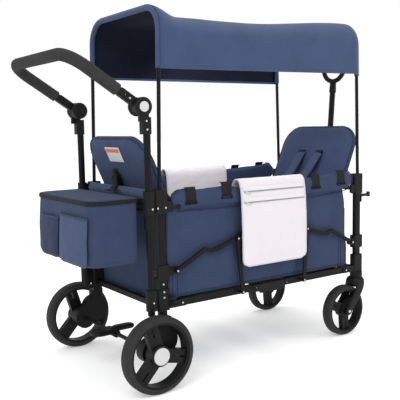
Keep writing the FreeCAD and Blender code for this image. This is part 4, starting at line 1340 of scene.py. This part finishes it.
def post_webs():
    """The moulded webs that close the gap between each handle tube and its post."""
    moulding("tube_webs", [
        brick((26 * MM, 17 * MM, high - low), (MIDDLE_X - 0.491, out * 0.2415, (low + high) / 2), 4 * MM)
        for _, out in SIDES for low, high in ((0.320, 0.362), (0.390, 0.580))
    ])


def caster_crowns():
    """Rounded housings over the heads of both forks."""
    for side, out in SIDES:
        rows = []
        for wide, long, z in (
            (20, 22, 0.2295), (25, 27, 0.226), (29, 31, 0.216), (31, 33, 0.204), (31, 31, 0.196), (27, 26, 0.191),
        ):
            ring = oblong(2 * long * MM, 2 * wide * MM, power=4, count=32)
            rows.append([Vector((MIDDLE_X + 0.463 + a, out * CASTER_Y + b, z)) for a, b in ring])
        crown = net(f"caster_crown_{side}", rows, wrap=True, caps=True)
        dress(crown, plastic_black, f"caster_{side}")


def foot_springs():
    """The ribs of the suspension boots on the rear corners."""
    moulding("foot_spring_ribs", [
        brick((26 * MM, 7 * MM, 4.5 * MM), (MIDDLE_X - 0.438, out * 0.2535, z), 2 * MM)
        for _, out in SIDES for z in spread(0.266, 0.300, 4)
    ])


handle_hubs()
rivets()
fork_shells()
pedal_shell()
post_webs()
caster_crowns()
foot_springs()


# ---- stage, light, camera

def stage():
    """A plain pale floor, soft lights, and the camera."""
    ground = net("floor", [[Vector((x, y, 0)) for y in (-30, 30)] for x in (-30, 30)])
    white = Finish("stage_white", 0.9, specular=0.0)
    for key, value in (
        ("Base Color", (0.90, 0.90, 0.90, 1)), ("Emission Color", (1, 1, 1, 1)), ("Emission Strength", 0.30),
    ):
        white.shader.inputs[key].default_value = value
    ground.data.materials.append(white.material)
    scene = bpy.context.scene
    scene.world = bpy.data.worlds.new("studio")
    scene.world.use_nodes = True
    background = scene.world.node_tree.nodes["Background"]
    background.inputs["Color"].default_value = (1, 1, 1, 1)
    background.inputs["Strength"].default_value = 1.0
    for name, place, aim, size, power in (
        ("key", (-2.6, -2.0, 3.4), (0, 0, 0.5), 1.6, 44),
        ("fill", (2.8, -2.4, 2.2), (0, 0, 0.5), 2.6, 12),
        ("top", (0.2, 0.4, 3.6), (0, 0, 0.5), 2.6, 30),
        ("inside", (0.05, -0.05, 1.02), (0.25, 0.22, 0.55), 0.35, 1.6),
    ):
        lamp = bpy.data.lights.new(name, "AREA")
        lamp.size = size
        lamp.energy = power
        light = link(name, lamp)
        light.location = place
        light.rotation_euler = (Vector(aim) - Vector(place)).to_track_quat("-Z", "Y").to_euler()
    heading, pitch, roll = 0.962, 0.110, -0.019
    ahead = Vector((cos(heading) * cos(pitch), sin(heading) * cos(pitch), -sin(pitch)))
    flat_right = Vector((sin(heading), -cos(heading), 0))
    flat_up = flat_right.cross(ahead)
    right = flat_right * cos(roll) + flat_up * sin(roll)
    up = flat_up * cos(roll) - flat_right * sin(roll)
    lens = bpy.data.cameras.new("camera")
    lens.lens = 60.39
    lens.sensor_width = 36
    camera = link("camera", lens)
    turn = Matrix((right, up, -ahead)).transposed().to_4x4()
    camera.matrix_world = Matrix.Translation((-1.50306, -2.0916, 0.8533)) @ turn
    scene.camera = camera
    scene.view_settings.view_transform = "Standard"


stage()
